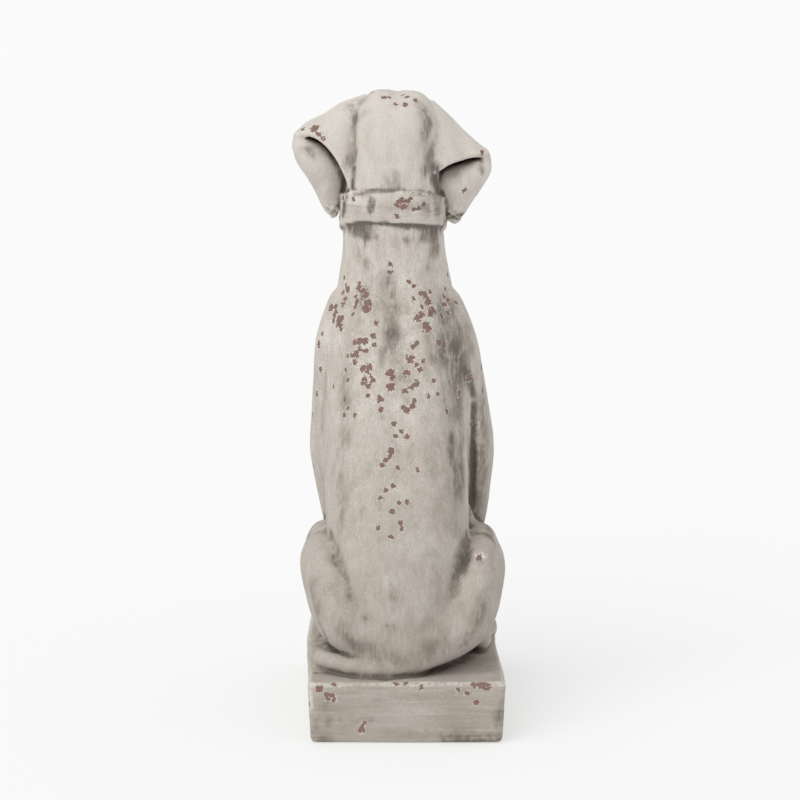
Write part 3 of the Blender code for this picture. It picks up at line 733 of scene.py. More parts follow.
def collar(neck):
    """A band round the neck, its inner side sunk in it."""
    tree = surface_of(neck)
    tilt = Matrix.Rotation(math.radians(COLLAR_TILT), 3, "X")
    half = COLLAR_HEIGHT / 2
    soft = COLLAR_PROUD * 0.35
    levels = [
        (-half, COLLAR_PROUD - soft), (-half + soft, COLLAR_PROUD), (half - soft, COLLAR_PROUD),
        (half, COLLAR_PROUD - soft), (half, -2 * COLLAR_PROUD), (-half, -2 * COLLAR_PROUD),
    ]
    bm = bmesh.new()
    loops = []
    for height, out in levels:
        made = bmesh.ops.create_circle(bm, segments=COLLAR_SIDES, radius=1.0)
        for vert in made["verts"]:
            ray = tilt @ Vector((vert.co.x, vert.co.y, 0.0))
            turn = math.atan2(vert.co.y, vert.co.x)
            wave = COLLAR_WAVE * (math.sin(3 * turn + height * 60) + 0.6 * math.sin(7 * turn + 1.0))
            start = place(*COLLAR_AT) + tilt @ Vector((0.0, 0.0, height + wave))
            vert.co = start + ray * (tree.ray_cast(start, ray)[3] + out)
        loops.append(edges_of(made["verts"]))
    for lower, upper in zip(loops, loops[1:] + loops[:1]):
        bmesh.ops.bridge_loops(bm, edges=lower + upper)
    bmesh.ops.recalc_face_normals(bm, faces=bm.faces[:])
    return object_from(bm, "collar")


band = collar(body)
print("collar:", len(band.data.polygons), "faces")

# %% [markdown]
# ## Plinth
#
# The block's edges wave and its sides lean a little. A cube is bevelled, cut across many
# times so that it can bend, and pushed about by slow sine waves. Its underside stays flat.

# %% The worn block
PLINTH_EDGE_ROUND = 0.0056
PLINTH_WAVE = 0.0016
PLINTH_SKEW = 0.005
PLINTH_TUCK = 0.03
PLINTH_CUTS = (9, 13)


def plinth():
    """The block under the dog."""
    bm = bmesh.new()
    size = Matrix.Diagonal((PLINTH_WIDTH, PLINTH_DEPTH, PLINTH_HEIGHT, 1.0))
    lift = Matrix.Translation((0.0, 0.0, PLINTH_HEIGHT / 2))
    bmesh.ops.create_cube(bm, size=1.0, matrix=lift @ size)
    bmesh.ops.bevel(
        bm, geom=bm.edges[:], offset=PLINTH_EDGE_ROUND, offset_type="OFFSET",
        segments=4, profile=0.5, affect="EDGES", material=-1, clamp_overlap=True,
    )
    sides = ((Vector((1, 0, 0)), PLINTH_WIDTH), (Vector((0, 1, 0)), PLINTH_DEPTH))
    for (normal, full), count in zip(sides, PLINTH_CUTS):
        length = full - 3 * PLINTH_EDGE_ROUND
        for i in range(count):
            cut = normal * length * ((i + 0.5) / count - 0.5)
            bmesh.ops.bisect_plane(bm, geom=bm.verts[:] + bm.edges[:] + bm.faces[:],
                                   plane_co=cut, plane_no=normal)
    for vert in bm.verts:
        x, y = vert.co.x / PLINTH_WIDTH, vert.co.y / PLINTH_DEPTH
        low = max(0.0, 1.0 - vert.co.z / PLINTH_HEIGHT)
        vert.co.x *= 1.0 - PLINTH_TUCK * low * low
        vert.co.x += PLINTH_WAVE * math.sin(7.0 * y + 2.0) + PLINTH_SKEW * (0.5 - y)
        vert.co.y += PLINTH_WAVE * math.sin(6.0 * x + 2.0) * 0.5
        if vert.co.z > PLINTH_HEIGHT / 2:
            vert.co.z += PLINTH_WAVE * math.sin(5.5 * y + 4.0 * x) * 0.4
    return object_from(bm, "plinth")


# %% [markdown]
# ## The pose
#
# The real figure leans a little to its left and its head rolls over. One function bends a
# point, and all of the dog's pieces go through it, so they keep fitting each other.

# %% Lean and roll
LEAN_AT_HEAD = 2.3
LEAN_TOP = 80.0
HEAD_ROLL = 2.6
HEAD_TURN_FROM = 74.0
HEAD_TURN_TO = 84.0


def posed(point):
    """A point of the straight figure after the body's lean and the head's roll."""
    pivot = place(0.0, 4.0, (HEAD_TURN_FROM + HEAD_TURN_TO) / 2)
    up = (point.z - PLINTH_HEIGHT) / PART
    share = min(max((up - HEAD_TURN_FROM) / (HEAD_TURN_TO - HEAD_TURN_FROM), 0.0), 1.0)
    turned = Matrix.Rotation(math.radians(-HEAD_ROLL) * share, 3, "Y") @ (point - pivot) + pivot
    turned.x += LEAN_AT_HEAD * PART * min(max(up / LEAN_TOP, 0.0), 1.0)
    return turned


# %% [markdown]
# ## The casting
#
# The dog, its collar and its block become one closed skin, as in the mould.

# %% Cast it all in one
CASTING_GRAIN, CASTING_ROUNDS = 0.0016, 4

heap = bmesh.new()
paws(heap)
tail(heap)
ear_pads(heap)
eyes(heap, face)
shells = [body, skull, band, object_from(heap, "small forms")]
shells += [ear("left ear", 1, LEFT_EAR), ear("right ear", -1, RIGHT_EAR)]
band_skin = surface_of(band, posed)
figure = joined(shells, "figure")
for vert in figure.data.vertices:
    vert.co = posed(vert.co)
shells = joined([figure, plinth()], "shells")
casting = one_skin(shells, "hound_on_plinth", CASTING_GRAIN, CASTING_ROUNDS)
print("casting:", len(casting.data.polygons), "faces")

# %% [markdown]
# ## Strokes placed in the photograph
#
# The finest carving on the back is placed where it is seen: a path through the photograph
# is cast from the camera onto the casting, and the skin is pressed in along it. One pixel
# is a little more than a millimetre here.

# %% Press along lines of the photograph
SEEN_PIXEL = CAMERA_PLACE.length / FOCAL_PIXELS
SEEN_STEPS = 12
ENDS_FADE = 0.7


def seen_path(tree, path):
    """The places on the skin under a path through the photograph, each with a share that
    falls away towards the path's ends."""
    seen = curve(path, SEEN_STEPS)
    hits = [tree.ray_cast(CAMERA_PLACE, sight_line(*spot))[0] for spot in seen]
    shares = [math.sin(math.pi * (i + 1) / (len(seen) + 1)) ** ENDS_FADE for i in range(len(seen))]
    return [(hit, share) for hit, share in zip(hits, shares) if hit is not None]


def press(obj, strokes):
    """Works strokes (path in pixels, radius in pixels, depth in millimetres) into the skin."""
    tree = surface_of(obj)
    points, normals = points_of(obj.data)
    depths = np.zeros(len(points))
    for path, radius, depth in strokes:
        pressed = np.zeros(len(points))
        for spot, share in seen_path(tree, path):
            near = np.maximum(0.0, 1.0 - far_from(spot, points) / (radius * SEEN_PIXEL) ** 2)
            pressed = np.maximum(pressed, near * near * share)
        depths += pressed * depth / 1000
    push_in(obj, points, normals, depths)


SEEN_STROKES = [
    # the slit between the ribs and the right arm
    ([(474, 380), (474, 410), (474, 440), (473, 470), (472, 495), (470, 516)], 6, 5.5),
    # the thin edge of the left arm
    ([(326, 346), (325.5, 380), (324, 408), (321.6, 440)], 4, 1.8),
    ([(340, 440), (341, 480), (341, 534)], 9, 1.4),
    # the creases of the haunches
    ([(328, 531), (335, 547), (341, 564), (346, 584), (352, 610)], 11, 2.2),
    ([(466, 533), (461, 548), (456, 562), (454, 582), (451, 604)], 8, 2.6),
    # the spine between the blades, and two faint lines under it
    ([(391, 258), (392, 285), (395, 308), (392, 335), (390, 365)], 12, 2.2),
    ([(378, 325), (377, 360), (378, 400)], 5, 0.7), ([(398, 330), (397, 370), (398, 408)], 5, 0.7),
    # the creases beside the skull
    ([(352, 110), (352, 130), (352, 150), (350, 172)], 11, 1.1),
    ([(437, 120), (434, 140), (431, 156), (428, 172)], 9, 1.6),
    # the thin lip along the bowl's edge
    ([(316, 618), (325, 637), (334, 648), (352, 657)], 3.2, 1.6),
    ([(490, 614), (482, 633), (473, 645), (456, 657)], 3.2, 1.2),
]
press(casting, SEEN_STROKES)
print("pressed", len(SEEN_STROKES), "strokes")

# %% [markdown]
# ## An uneven hand
#
# Two octaves of noise push the skin about by less than a millimetre, and the crumbled tips
# of the ears by more.

# %% Unevenness
# a noise's scale per metre and its depth in metres
UNEVENNESS = ((24.0, 0.00055), (75.0, 0.00022))
CRUMBLED = [(331, 213, 8.0), (337, 213, 5.0), (452, 216, 5.0), (458, 217, 8.0)]
CRUMBLE = (200.0, 0.0026)
EVEN_BELOW = 0.004

tree = surface_of(casting)


def seen_place(across, down, turn=0.0):
    """The place on the skin under a pixel of the photograph, or None.

    With a turn, in degrees, the statue is looked at from another side through the same lens."""
    spin = Matrix.Rotation(math.radians(turn), 3, "Z")
    return tree.ray_cast(spin @ CAMERA_PLACE, spin @ sight_line(across, down))[0]


def field_of(points, marks, spread=2.0, turn=0.0):
    """A value for every point: 1 in the middle of a mark (across, down, radius), a half at
    its radius if the spread is 2, and 0 further away."""
    value = np.zeros(len(points))
    for across, down, radius in marks:
        spot = seen_place(across, down, turn)
        if spot is not None:
            away = np.sqrt(far_from(spot, points)) / (radius * SEEN_PIXEL * spread)
            value = np.maximum(value, 1.0 - away)
    return value


points, normals = points_of(casting.data)
push = np.zeros(len(points))
for scale, depth in UNEVENNESS:
    push += depth * np.array([noise.noise(Vector(p) * scale) for p in points])
crumbled = np.clip(2.0 * field_of(points, CRUMBLED), 0.0, 1.0)
for index in np.nonzero(crumbled > 0)[0]:
    push[index] += CRUMBLE[1] * crumbled[index] * noise.noise(Vector(points[index]) * CRUMBLE[0])
push *= np.clip(points[:, 2] / EVEN_BELOW, 0.0, 1.0)
push_in(casting, points, normals, -push)

# %% [markdown]
# ## Marks of age
#
# The flakes are placed where they are seen: each mark is a place in the photograph and a
# radius. The hidden sides get a few of the same marks, looked at from over there.

# %% Flakes of lost paint
FLAKES = [
    # ears, skull and collar
    (315, 128, 5), (319, 134, 3), (323, 138, 2), (303, 129, 2.5), (389, 97, 2), (403, 95, 2.5),
    (407, 97, 2.5), (405, 105, 3), (415, 100, 2), (395, 104, 1.5), (482, 152, 2.5), (401, 201, 4.5),
    (404, 206, 3.5), (397, 205, 3), (408, 201, 3), (411, 199, 2), (424, 204, 2), (419, 208, 2),
    (415, 210, 1.5), (397, 216, 1.5),
    # left shoulder blade
    (360, 284, 3), (359, 288, 4), (363, 291, 3.5), (366, 295, 3.5), (365, 303, 3), (366, 309, 5),
    (370, 304, 2.5), (356, 296, 2), (357, 302, 3), (355, 307, 2.5), (353, 314, 2.5), (346, 286, 2.5),
    (343, 293, 2), (345, 299, 2.5), (343, 304, 3), (335, 307, 3.5), (336, 312, 3), (340, 319, 4.5),
    (339, 324, 4), (341, 329, 2.5), (333, 321, 2), (376, 323, 2.5), (390, 264, 1.5), (390, 272, 2.5),
    # right shoulder blade
    (425, 295, 4), (428, 301, 5), (430, 292, 2.5), (421, 294, 2), (414, 286, 2.5), (414, 299, 2.5),
    (409, 282, 1.5), (422, 307, 2.5), (417, 318, 4.5), (421, 315, 4), (430, 314, 3), (427, 328, 5),
    (425, 324, 2.5), (445, 289, 2.5), (444, 296, 2), (444, 304, 3.5), (448, 300, 2), (448, 313, 3),
    (441, 314, 2), (442, 317, 1.5), (456, 303, 1.5),
    # the chain down the left of the spine
    (360, 341, 4), (355, 342, 3), (365, 341, 4), (373, 336, 3), (374, 345, 2.5), (360, 349, 2.5),
    (356, 354, 4), (352, 355, 2.5), (348, 355, 2), (354, 362, 3.5), (366, 351, 3), (363, 368, 4),
    (369, 367, 4), (367, 372, 2.5), (364, 379, 2.5), (364, 383, 3), (369, 386, 3), (373, 380, 3),
    (371, 376, 1.5), (368, 396, 1.5), (380, 399, 4), (381, 410, 3.5), (346, 370, 1.5), (348, 380, 2),
    (345, 399, 2), (348, 408, 2), (344, 415, 2), (355, 415, 2),
    # the middle and the chain down the right
    (390, 374, 5), (392, 378, 4), (391, 387, 4.5), (410, 359, 4.5), (417, 365, 3), (420, 370, 2.5),
    (407, 373, 4), (416, 383, 3.5), (412, 387, 2.5), (405, 391, 3.5), (404, 407, 3), (408, 410, 3.5),
    (413, 406, 3), (414, 401, 2), (417, 343, 2), (413, 347, 1.5), (423, 361, 2), (434, 381, 1.5),
    (428, 396, 1.5), (438, 394, 1.5),
    # the sparse ones further down
    (394, 424, 1.5), (401, 431, 1.5), (407, 437, 1.5), (396, 436, 1.5), (391, 451, 4), (390, 457, 2.5),
    (386, 460, 2), (382, 465, 1.5), (398, 468, 1.5), (417, 470, 1.5), (393, 486, 2.5), (386, 490, 1.5),
    (380, 498, 2), (399, 503, 1.5), (407, 502, 1.5), (392, 511, 2), (401, 523, 1.5), (378, 528, 1.5),
    (402, 529, 2), (391, 537, 2), (479, 558, 3.5), (494, 542, 2),
    # the block
    (319, 689, 4), (327, 695, 3), (327, 698, 3), (332, 696, 3.5), (334, 699, 3), (334, 684, 2.5),
    (309, 704, 1.5), (396, 684, 3), (406, 683, 2), (421, 687, 1.5), (474, 685, 3.5), (480, 685, 4),
    (486, 686, 4.5), (488, 688, 3), (458, 690, 1.5), (467, 693, 1.5), (476, 702, 3), (362, 728, 3),
    (361, 731, 3), (364, 723, 1.5),
]
SMALLEST_FLAKE = 2.2
FLAKE_SHARE = 0.82
FLECKED_AROUND = 8.0
# the turn to each side in degrees, and which flakes it gets: all, or every third to fifth
ALL_SIDES = ((0.0, 1), (90.0, 5), (180.0, 3), (-90.0, 4))


def attribute(obj, name, values):
    """Stores one number for each point of the mesh, for the material to read."""
    layer = obj.data.attributes.new(name, "FLOAT", "POINT")
    layer.data.foreach_set("value", values.astype(np.float32))


def flaked_fields(points):
    """Two values for every point: how near it is to a flake, and to a place with specks."""
    flaking, flecked = np.zeros(len(points)), np.zeros(len(points))
    for turn, every in ALL_SIDES:
        marks = [(x, y, max(FLAKE_SHARE * r, SMALLEST_FLAKE)) for x, y, r in FLAKES[::every]]
        flaking = np.maximum(flaking, field_of(points, marks, turn=turn))
        around = [(x, y, r + FLECKED_AROUND) for x, y, r in marks]
        flecked = np.maximum(flecked, field_of(points, around, 1.2, turn))
    return flaking, flecked


print(len(FLAKES), "flakes")

# %% [markdown]
# ## Thin it out
#
# Decimate collapses the edges that matter least, until the piece is light enough to hand
# on. A vertex group keeps it off the flakes, whose torn outlines need small triangles.

# %% Bring it to its budget
TRIANGLE_BUDGET = 194000
SLIVER = 0.0001
KEPT_FROM = 0.12
# the worn line: how far out on the block, as a share of its width, and its height from the top
OUTER_FROM = 0.46
RIM_MIDDLE, RIM_HALF = -0.002, 0.0045


def thinned(obj, triangles, kept):
    """The same skin with about so many triangles, all of them where kept is true, no slivers."""
    obj.data.calc_loop_triangles()
    group = obj.vertex_groups.new(name="thin here")
    group.add([int(index) for index in np.nonzero(~kept)[0]], 1.0, "REPLACE")
    fewer = obj.modifiers.new("thin out", "DECIMATE")
    fewer.ratio = min(1.0, triangles / len(obj.data.loop_triangles))
    fewer.vertex_group = group.name
    lighter = evaluated(obj, obj.name)
    lighter.vertex_groups.clear()
    bm = bmesh.new()
    bm.from_mesh(lighter.data)
    bmesh.ops.triangulate(bm, faces=bm.faces[:])
    bmesh.ops.dissolve_degenerate(bm, dist=SLIVER, edges=bm.edges[:])
    bmesh.ops.triangulate(bm, faces=bm.faces[:])
    bm.to_mesh(lighter.data)
    bm.free()
    lighter.data.validate()
    return lighter


def on_the_rim(points):
    """True on the block's upper edges, where the coat wears off first."""
    outermost = np.maximum(np.abs(points[:, 0]) / PLINTH_WIDTH, np.abs(points[:, 1]) / PLINTH_DEPTH)
    return (outermost > OUTER_FROM) & (np.abs(points[:, 2] - PLINTH_HEIGHT - RIM_MIDDLE) < RIM_HALF)


points, normals = points_of(casting.data)
casting = thinned(casting, TRIANGLE_BUDGET, (flaked_fields(points)[1] > KEPT_FROM) | on_the_rim(points))
casting.data.name = "hound_on_plinth"
casting.data.shade_smooth()
tree = surface_of(casting)
points, normals = points_of(casting.data)
flaking, flecked = flaked_fields(points)
attribute(casting, "flaking", flaking)
attribute(casting, "flecked", flecked)
print("casting:", len(casting.data.polygons), "triangles after thinning out")

# %% [markdown]
# ## What the weather sees, and where shade is painted
#
# Dirt gathers in hollows and shelter, and edges are rubbed pale; the material paints shade there too.
# A point lies in a hollow if it is behind the average of its neighbourhood, and it is sheltered
# if few rays leave it for the open sky. The results are stored as attributes, which the material reads.

# %% Hollows, edges and shelter
SHELTER_STEP = 5
SHELTER_RAYS = 14
STEEPEST_RAY, FLATTEST_RAY = 0.9, 0.25
SHELTER_REACH = 0.07
OFF_THE_SKIN = 0.0006
# rounds of evening, the depth of a full hollow in metres, and its share of the dirt and painted shade
FINE_ROUNDS, FINE_DEPTH, FINE_SHARE = 5, 0.0005, 0.6
BROAD_ROUNDS, BROAD_DEPTH, BROAD_SHARE = 60, 0.0032, 0.7
ROUND_FROM, ROUND_OVER = 24.0, 45.0
RIM_WEAR = 0.7
SMALLEST_SQUARE = 1e-12


def links_of(mesh):
    """The two ends of every edge, as two arrays."""
    ends = np.empty(len(mesh.edges) * 2, dtype=np.int32)
    mesh.edges.foreach_get("vertices", ends)
    return ends[0::2], ends[1::2]


def gathered(ends, count, at_first=None, at_second=None):
    """The sum at every point of what its edges bring there, or just how many edges it has."""
    return np.bincount(ends[0], at_first, count) + np.bincount(ends[1], at_second, count)


def evened(values, ends, rounds):
    """Values averaged with those of the neighbours, so many times over."""
    shares = np.maximum(gathered(ends, len(values)), 1)
    for _ in range(rounds):
        total = gathered(ends, len(values), values[ends[1]], values[ends[0]])
        values = 0.5 * values + 0.5 * total / shares
    return values


def bulge(points, normals, ends, rounds):
    """How far each point stands out from its neighbourhood, in metres: less than 0 in a hollow."""
    middle = np.stack([evened(points[:, axis], ends, rounds) for axis in range(3)], axis=1)
    return ((points - middle) * normals).sum(axis=1)


def roundness(points, bulges, ends, rounds):
    """How sharply each point is rounded, as one over a radius in metres, whatever the size of
    the triangles there."""
    squares = ((points[ends[0]] - points[ends[1]]) ** 2).sum(axis=1)
    shares = np.maximum(gathered(ends, len(points)), 1)
    spacing = evened(gathered(ends, len(points), squares, squares) / shares, ends, rounds)
    return 4 * bulges / (rounds * np.maximum(spacing, SMALLEST_SQUARE))


def shelter_of(points, normals, ends):
    """The share of rays that are stopped near each point: a few points are tried, and the
    others take the average of those around them."""
    near_skin = surface_of(casting)
    golden = math.pi * (3 - math.sqrt(5))
    rays = []
    for i, z in enumerate(np.linspace(STEEPEST_RAY, FLATTEST_RAY, SHELTER_RAYS)):
        flat = math.sqrt(1 - z * z)
        rays.append(Vector((math.cos(golden * i) * flat, math.sin(golden * i) * flat, z)))
    stopped, known = np.zeros(len(points)), np.zeros(len(points))
    for index in range(0, len(points), SHELTER_STEP):
        turn = Vector(normals[index]).to_track_quat("Z", "Y")
        start = Vector(points[index]) + Vector(normals[index]) * OFF_THE_SKIN
        hits = [near_skin.ray_cast(start, turn @ ray, SHELTER_REACH)[0] for ray in rays]
        stopped[index] = sum(hit is not None for hit in hits) / SHELTER_RAYS
        known[index] = 1.0
    return evened(stopped, ends, 4) / np.maximum(evened(known, ends, 4), 1e-4)


points, normals = points_of(casting.data)
ends = links_of(casting.data)
fine = bulge(points, normals, ends, FINE_ROUNDS)
broad = bulge(points, normals, ends, BROAD_ROUNDS)
hollow = np.clip(-fine / FINE_DEPTH, 0, 1) * FINE_SHARE
hollow += np.clip(-broad / BROAD_DEPTH, 0, 1) * BROAD_SHARE
attribute(casting, "hollow", evened(hollow, ends, 1))
round_here = roundness(points, fine, ends, FINE_ROUNDS)
edge = evened(np.clip((round_here - ROUND_FROM) / ROUND_OVER, 0, 1), ends, 1)
edge *= np.where(on_the_rim(points), RIM_WEAR, 1.0)
attribute(casting, "edge", edge)
print("edges on", round(float((edge > 0.3).mean()), 3), "of the points")
on_band = np.array([band_skin.find_nearest(p, COLLAR_PROUD / 3)[0] is not None for p in points])
along = on_band | (points[:, 2] < PLINTH_HEIGHT)
attribute(casting, "along", evened(along.astype(float), ends, 2))
# how shut in each point is: the material darkens it as dirt and as painted shade
shelter = evened(shelter_of(points, normals, ends), ends, 3)
attribute(casting, "shelter", shelter)
print("shelter from", round(shelter.min(), 2), "to", round(shelter.max(), 2))

# %% Stains and painted shade
STAINS_AND_SHADE = {
    # stains and painted shade, by the turn to the side that they are seen from: a path
    # through the photograph, its radius in pixels and how dark it is; from behind first
    0: [
        # skull and ears: painted shade in the creases beside the skull and under the ear rims, and
        # stains
        ([(351, 107), (358, 103), (366, 99)], 9, 0.4), ([(364, 112), (356, 120)], 8, 0.3),
        ([(353, 118), (352, 138), (350, 148), (351, 156)], 9, 0.16),
        ([(352, 130), (350, 160)], 13, 0.14), ([(348, 162), (349, 178), (349, 190)], 7, 0.32),
        ([(420, 106), (428, 112), (430, 122), (427, 132)], 9, 0.45),
        ([(431, 146), (430, 156), (425, 170)], 8, 0.4),
        ([(422, 120), (424, 160), (426, 186)], 12, 0.25),
        ([(437, 168), (434, 180), (438, 190)], 8, 0.75), ([(380, 150), (378, 160)], 8, 0.15),
        ([(384, 180), (394, 176), (398, 184)], 11, 0.35),
        ([(330, 152), (338, 166), (343, 182), (347, 196)], 4.5, 0.55),
        ([(306, 148), (314, 155)], 8, 0.45), ([(344, 204), (343, 214)], 5, 0.7),
        ([(480, 156), (482, 172)], 5, 0.45), ([(328, 208), (334, 216), (341, 214)], 5, 0.45),
        ([(446, 214), (456, 218), (464, 216)], 4, 0.55), ([(455, 176), (470, 168)], 7, 0.25),
        # collar and neck: painted shade along the collar's edges and at its right end, and stains
        ([(354, 194), (372, 191), (398, 191), (424, 193), (440, 196)], 3.5, 0.5),
        ([(348, 225), (366, 223), (386, 223.5), (412, 226), (440, 228)], 4, 0.8),
        ([(371, 206), (371, 210)], 4, 0.75), ([(370, 198), (370, 201)], 3, 0.4),
        ([(346, 209), (380, 207), (420, 209), (440, 212)], 13, 0.28),
        ([(428, 205), (438, 210)], 12, 0.26), ([(356, 229), (366, 234)], 9, 0.4),
        ([(428, 230), (437, 236), (437, 252)], 8, 0.4), ([(359, 254), (365, 263)], 8, 0.35),
        ([(433, 247), (428, 262)], 10, 0.35),
        # spine
        ([(388, 278), (389, 290), (388, 300), (391, 312), (389, 322)], 10, 0.4),
        ([(390, 334), (389, 346)], 7, 0.35), ([(396, 336), (402, 380)], 16, 0.4),
        ([(428, 336), (434, 356)], 14, 0.3), ([(381, 350), (381, 366)], 5, 0.3),
        ([(397, 306), (399, 311)], 5, 0.35), ([(363, 290), (366, 304)], 8, 0.3),
        ([(416, 311), (416, 327)], 8, 0.25), ([(406, 400), (412, 410)], 9, 0.3),
        ([(378, 407), (382, 418)], 6, 0.3), ([(395, 423), (393, 440)], 7, 0.2),
        # arms and flanks: painted shade in the slit and the grooves beside the arms; the right flank
        # and arm darker, partly stain and partly painted shade
        ([(446, 346), (454, 356), (460, 368)], 13, 0.35),
        ([(466, 372), (471, 382), (472, 394)], 6, 0.65),
        ([(473, 404), (474, 420), (473, 440), (472, 462), (472, 490), (469, 518)], 4, 0.6),
        ([(482, 400), (484, 440), (483, 480), (478, 516)], 13, 0.45),
        ([(470, 330), (474, 350)], 12, 0.25),
        ([(452, 310), (458, 345), (458, 390), (460, 440), (460, 480)], 21, 0.46),
        ([(458, 480), (456, 530)], 20, 0.32),
        ([(440, 360), (444, 400), (442, 470), (438, 520)], 13, 0.16),
        ([(326, 372), (324, 388), (322, 410), (322, 430)], 4, 0.25),
        ([(452, 438), (451, 446), (450, 456)], 6, 0.5), ([(347, 436), (338, 456)], 12, 0.25),
        ([(340, 480), (342, 508), (340, 532)], 8, 0.4), ([(363, 508), (363, 518)], 5, 0.3),
        ([(345, 380), (342, 420), (344, 470), (352, 520)], 13, 0.2),
        ([(429, 470), (432, 500)], 10, 0.15),
        # haunches: painted shade in the creases, and stains
        ([(314, 534), (322, 531), (330, 535)], 8, 0.4),
        ([(331, 532), (337, 546), (343, 562), (347, 582), (350, 598)], 6, 0.38),
        ([(319, 550), (321, 560)], 11, 0.2), ([(467, 536), (464, 546), (462, 558), (459, 568)], 9, 0.6),
        ([(470, 551), (463, 576), (456, 592)], 7, 0.35),
        ([(474, 533), (484, 534), (493, 542)], 9, 0.45), ([(478, 556), (479, 561)], 5, 0.4),
        ([(494, 556), (490, 585), (484, 612)], 14, 0.28), ([(312, 585), (318, 612)], 15, 0.4),
        # the rump, scuffed and soiled low down, with painted shade under the rump and the right haunch
        ([(393, 590), (394, 598)], 4.5, 0.4), ([(386, 627), (392, 627)], 3, 0.4),
        ([(363, 619), (367, 618)], 3.5, 0.4),
        ([(350, 606), (352, 625), (360, 640), (376, 650)], 17, 0.2),
        ([(338, 622), (342, 634), (352, 644)], 10, 0.36), ([(321, 626), (328, 642)], 7, 0.45),
        ([(400, 530), (400, 580), (404, 640)], 36, 0.24),
        ([(440, 560), (444, 600), (440, 640)], 24, 0.26),
        ([(360, 650), (400, 662), (440, 652)], 14, 0.28),
        ([(480, 602), (476, 626), (462, 646)], 9, 0.4),
        # painted shadow under the bowl's lip, round the tail and where the rump meets the block; the
        # block darker towards its foot
        ([(321, 640), (329, 648), (342, 655), (352, 658)], 4, 0.55),
        ([(316, 673), (334, 673), (353, 677), (386, 680), (416, 675), (442, 669), (460, 662)], 5, 0.65),
        ([(462, 662), (472, 655), (478, 650)], 8, 0.6), ([(478, 672), (492, 668)], 13, 0.3),
        ([(320, 662), (350, 668), (380, 672)], 8, 0.2), ([(314, 640), (313, 652)], 7, 0.35),
        ([(320, 706), (350, 706), (380, 704)], 7, 0.25),
        ([(318, 722), (345, 721), (372, 720)], 6, 0.35),
        ([(310, 741), (350, 743), (420, 743), (498, 741)], 9, 0.6),
        ([(390, 735), (430, 737), (480, 736)], 7, 0.2),
        ([(314, 728), (360, 732), (420, 729), (494, 731)], 9, 0.25),
        ([(330, 694), (470, 696)], 9, 0.22), ([(436, 716), (470, 716), (500, 714)], 9, 0.25),
        ([(316, 700), (330, 716)], 12, 0.2), ([(501, 700), (499, 724)], 6, 0.3),
    ],
    # the other sides: painted shade under the collar, between the legs and in the creases, the block
    # darker towards its foot, and a few stains
    180: [
        ([(352, 251), (400, 256), (450, 251)], 7, 0.55),
        ([(352, 204), (400, 210), (450, 204)], 14, 0.28),
        ([(400, 262), (404, 300), (398, 340)], 20, 0.25),
        ([(352, 330), (346, 400), (350, 470)], 14, 0.28),
        ([(452, 330), (460, 400), (452, 470)], 14, 0.28),
        ([(400, 440), (400, 540), (398, 610)], 22, 0.3), ([(330, 640), (332, 672)], 13, 0.35),
        ([(455, 640), (458, 672)], 13, 0.35),
        ([(300, 752), (360, 756), (430, 756), (492, 752)], 9, 0.55),
        ([(320, 716), (480, 718)], 10, 0.22), ([(384, 60), (412, 64)], 10, 0.25),
        ([(330, 130), (318, 170)], 14, 0.22), ([(470, 120), (480, 170)], 14, 0.25),
    ],
    90: [
        ([(330, 240), (380, 236), (430, 226)], 7, 0.5),
        ([(380, 280), (370, 340), (352, 400)], 20, 0.25),
        ([(440, 420), (470, 480), (500, 540)], 20, 0.25),
        ([(360, 548), (420, 544), (500, 556), (532, 590)], 8, 0.45),
        ([(370, 640), (440, 650), (520, 640)], 10, 0.4),
        ([(250, 741), (350, 744), (550, 741)], 9, 0.55), ([(260, 704), (540, 708)], 10, 0.22),
        ([(352, 150), (345, 185)], 12, 0.28),
    ],
    -90: [
        ([(300, 548), (380, 544), (440, 556)], 8, 0.45), ([(370, 238), (420, 236), (470, 240)], 7, 0.5),
        ([(440, 280), (450, 340), (462, 400)], 20, 0.25), ([(330, 430), (310, 500)], 20, 0.25),
        ([(280, 640), (360, 650), (430, 640)], 10, 0.4),
        ([(250, 741), (350, 744), (550, 741)], 9, 0.55), ([(260, 704), (540, 708)], 10, 0.22),
        ([(452, 150), (456, 185)], 12, 0.28),
    ],
}


DOTS_APART = 0.45
STAIN_SPREAD = 1.5


def dots_along(path, radius):
    """Marks along a path through the photograph, near enough to run together."""
    dots = [(*path[-1], radius)]
    for start, end in zip(path, path[1:]):
        steps = math.ceil(math.dist(start, end) / (DOTS_APART * radius))
        for i in range(steps):
            dots.append((*(a + (b - a) * i / steps for a, b in zip(start, end)), radius))
    return dots


def stain_and_shade_field(points):
    """A value for every point: how dark the stains and the painted shade make it."""
    unmarked = np.ones(len(points))
    for turn, stains_and_shade in STAINS_AND_SHADE.items():
        for path, radius, strength in stains_and_shade:
            near = field_of(points, dots_along(path, radius), STAIN_SPREAD, turn)
            unmarked *= 1.0 - strength * near * near * (3 - 2 * near)
    return 1.0 - unmarked


FACE_SHADE = [
    # painted shade in the eye sockets, nostrils, tear lines, mouth and philtrum: landmarks (across,
    # forward, up), the radius in parts and how dark
    ([(4.9, 12.9, 92.4)], 3.4, 0.75), ([(1.7, 24.6, 90.8)], 1.6, 0.7),
    ([(4.4, 13.4, 90.6), (5.2, 13.6, 87.6)], 2.2, 0.35),
    ([(5.8, 11.5, 84.9), (5.8, 14.5, 83.9), (5.2, 18, 83.8), (3.8, 21.6, 84.8)], 1.8, 0.5),
    ([(0, 24, 89), (0, 23.6, 86)], 1.3, 0.4),
]


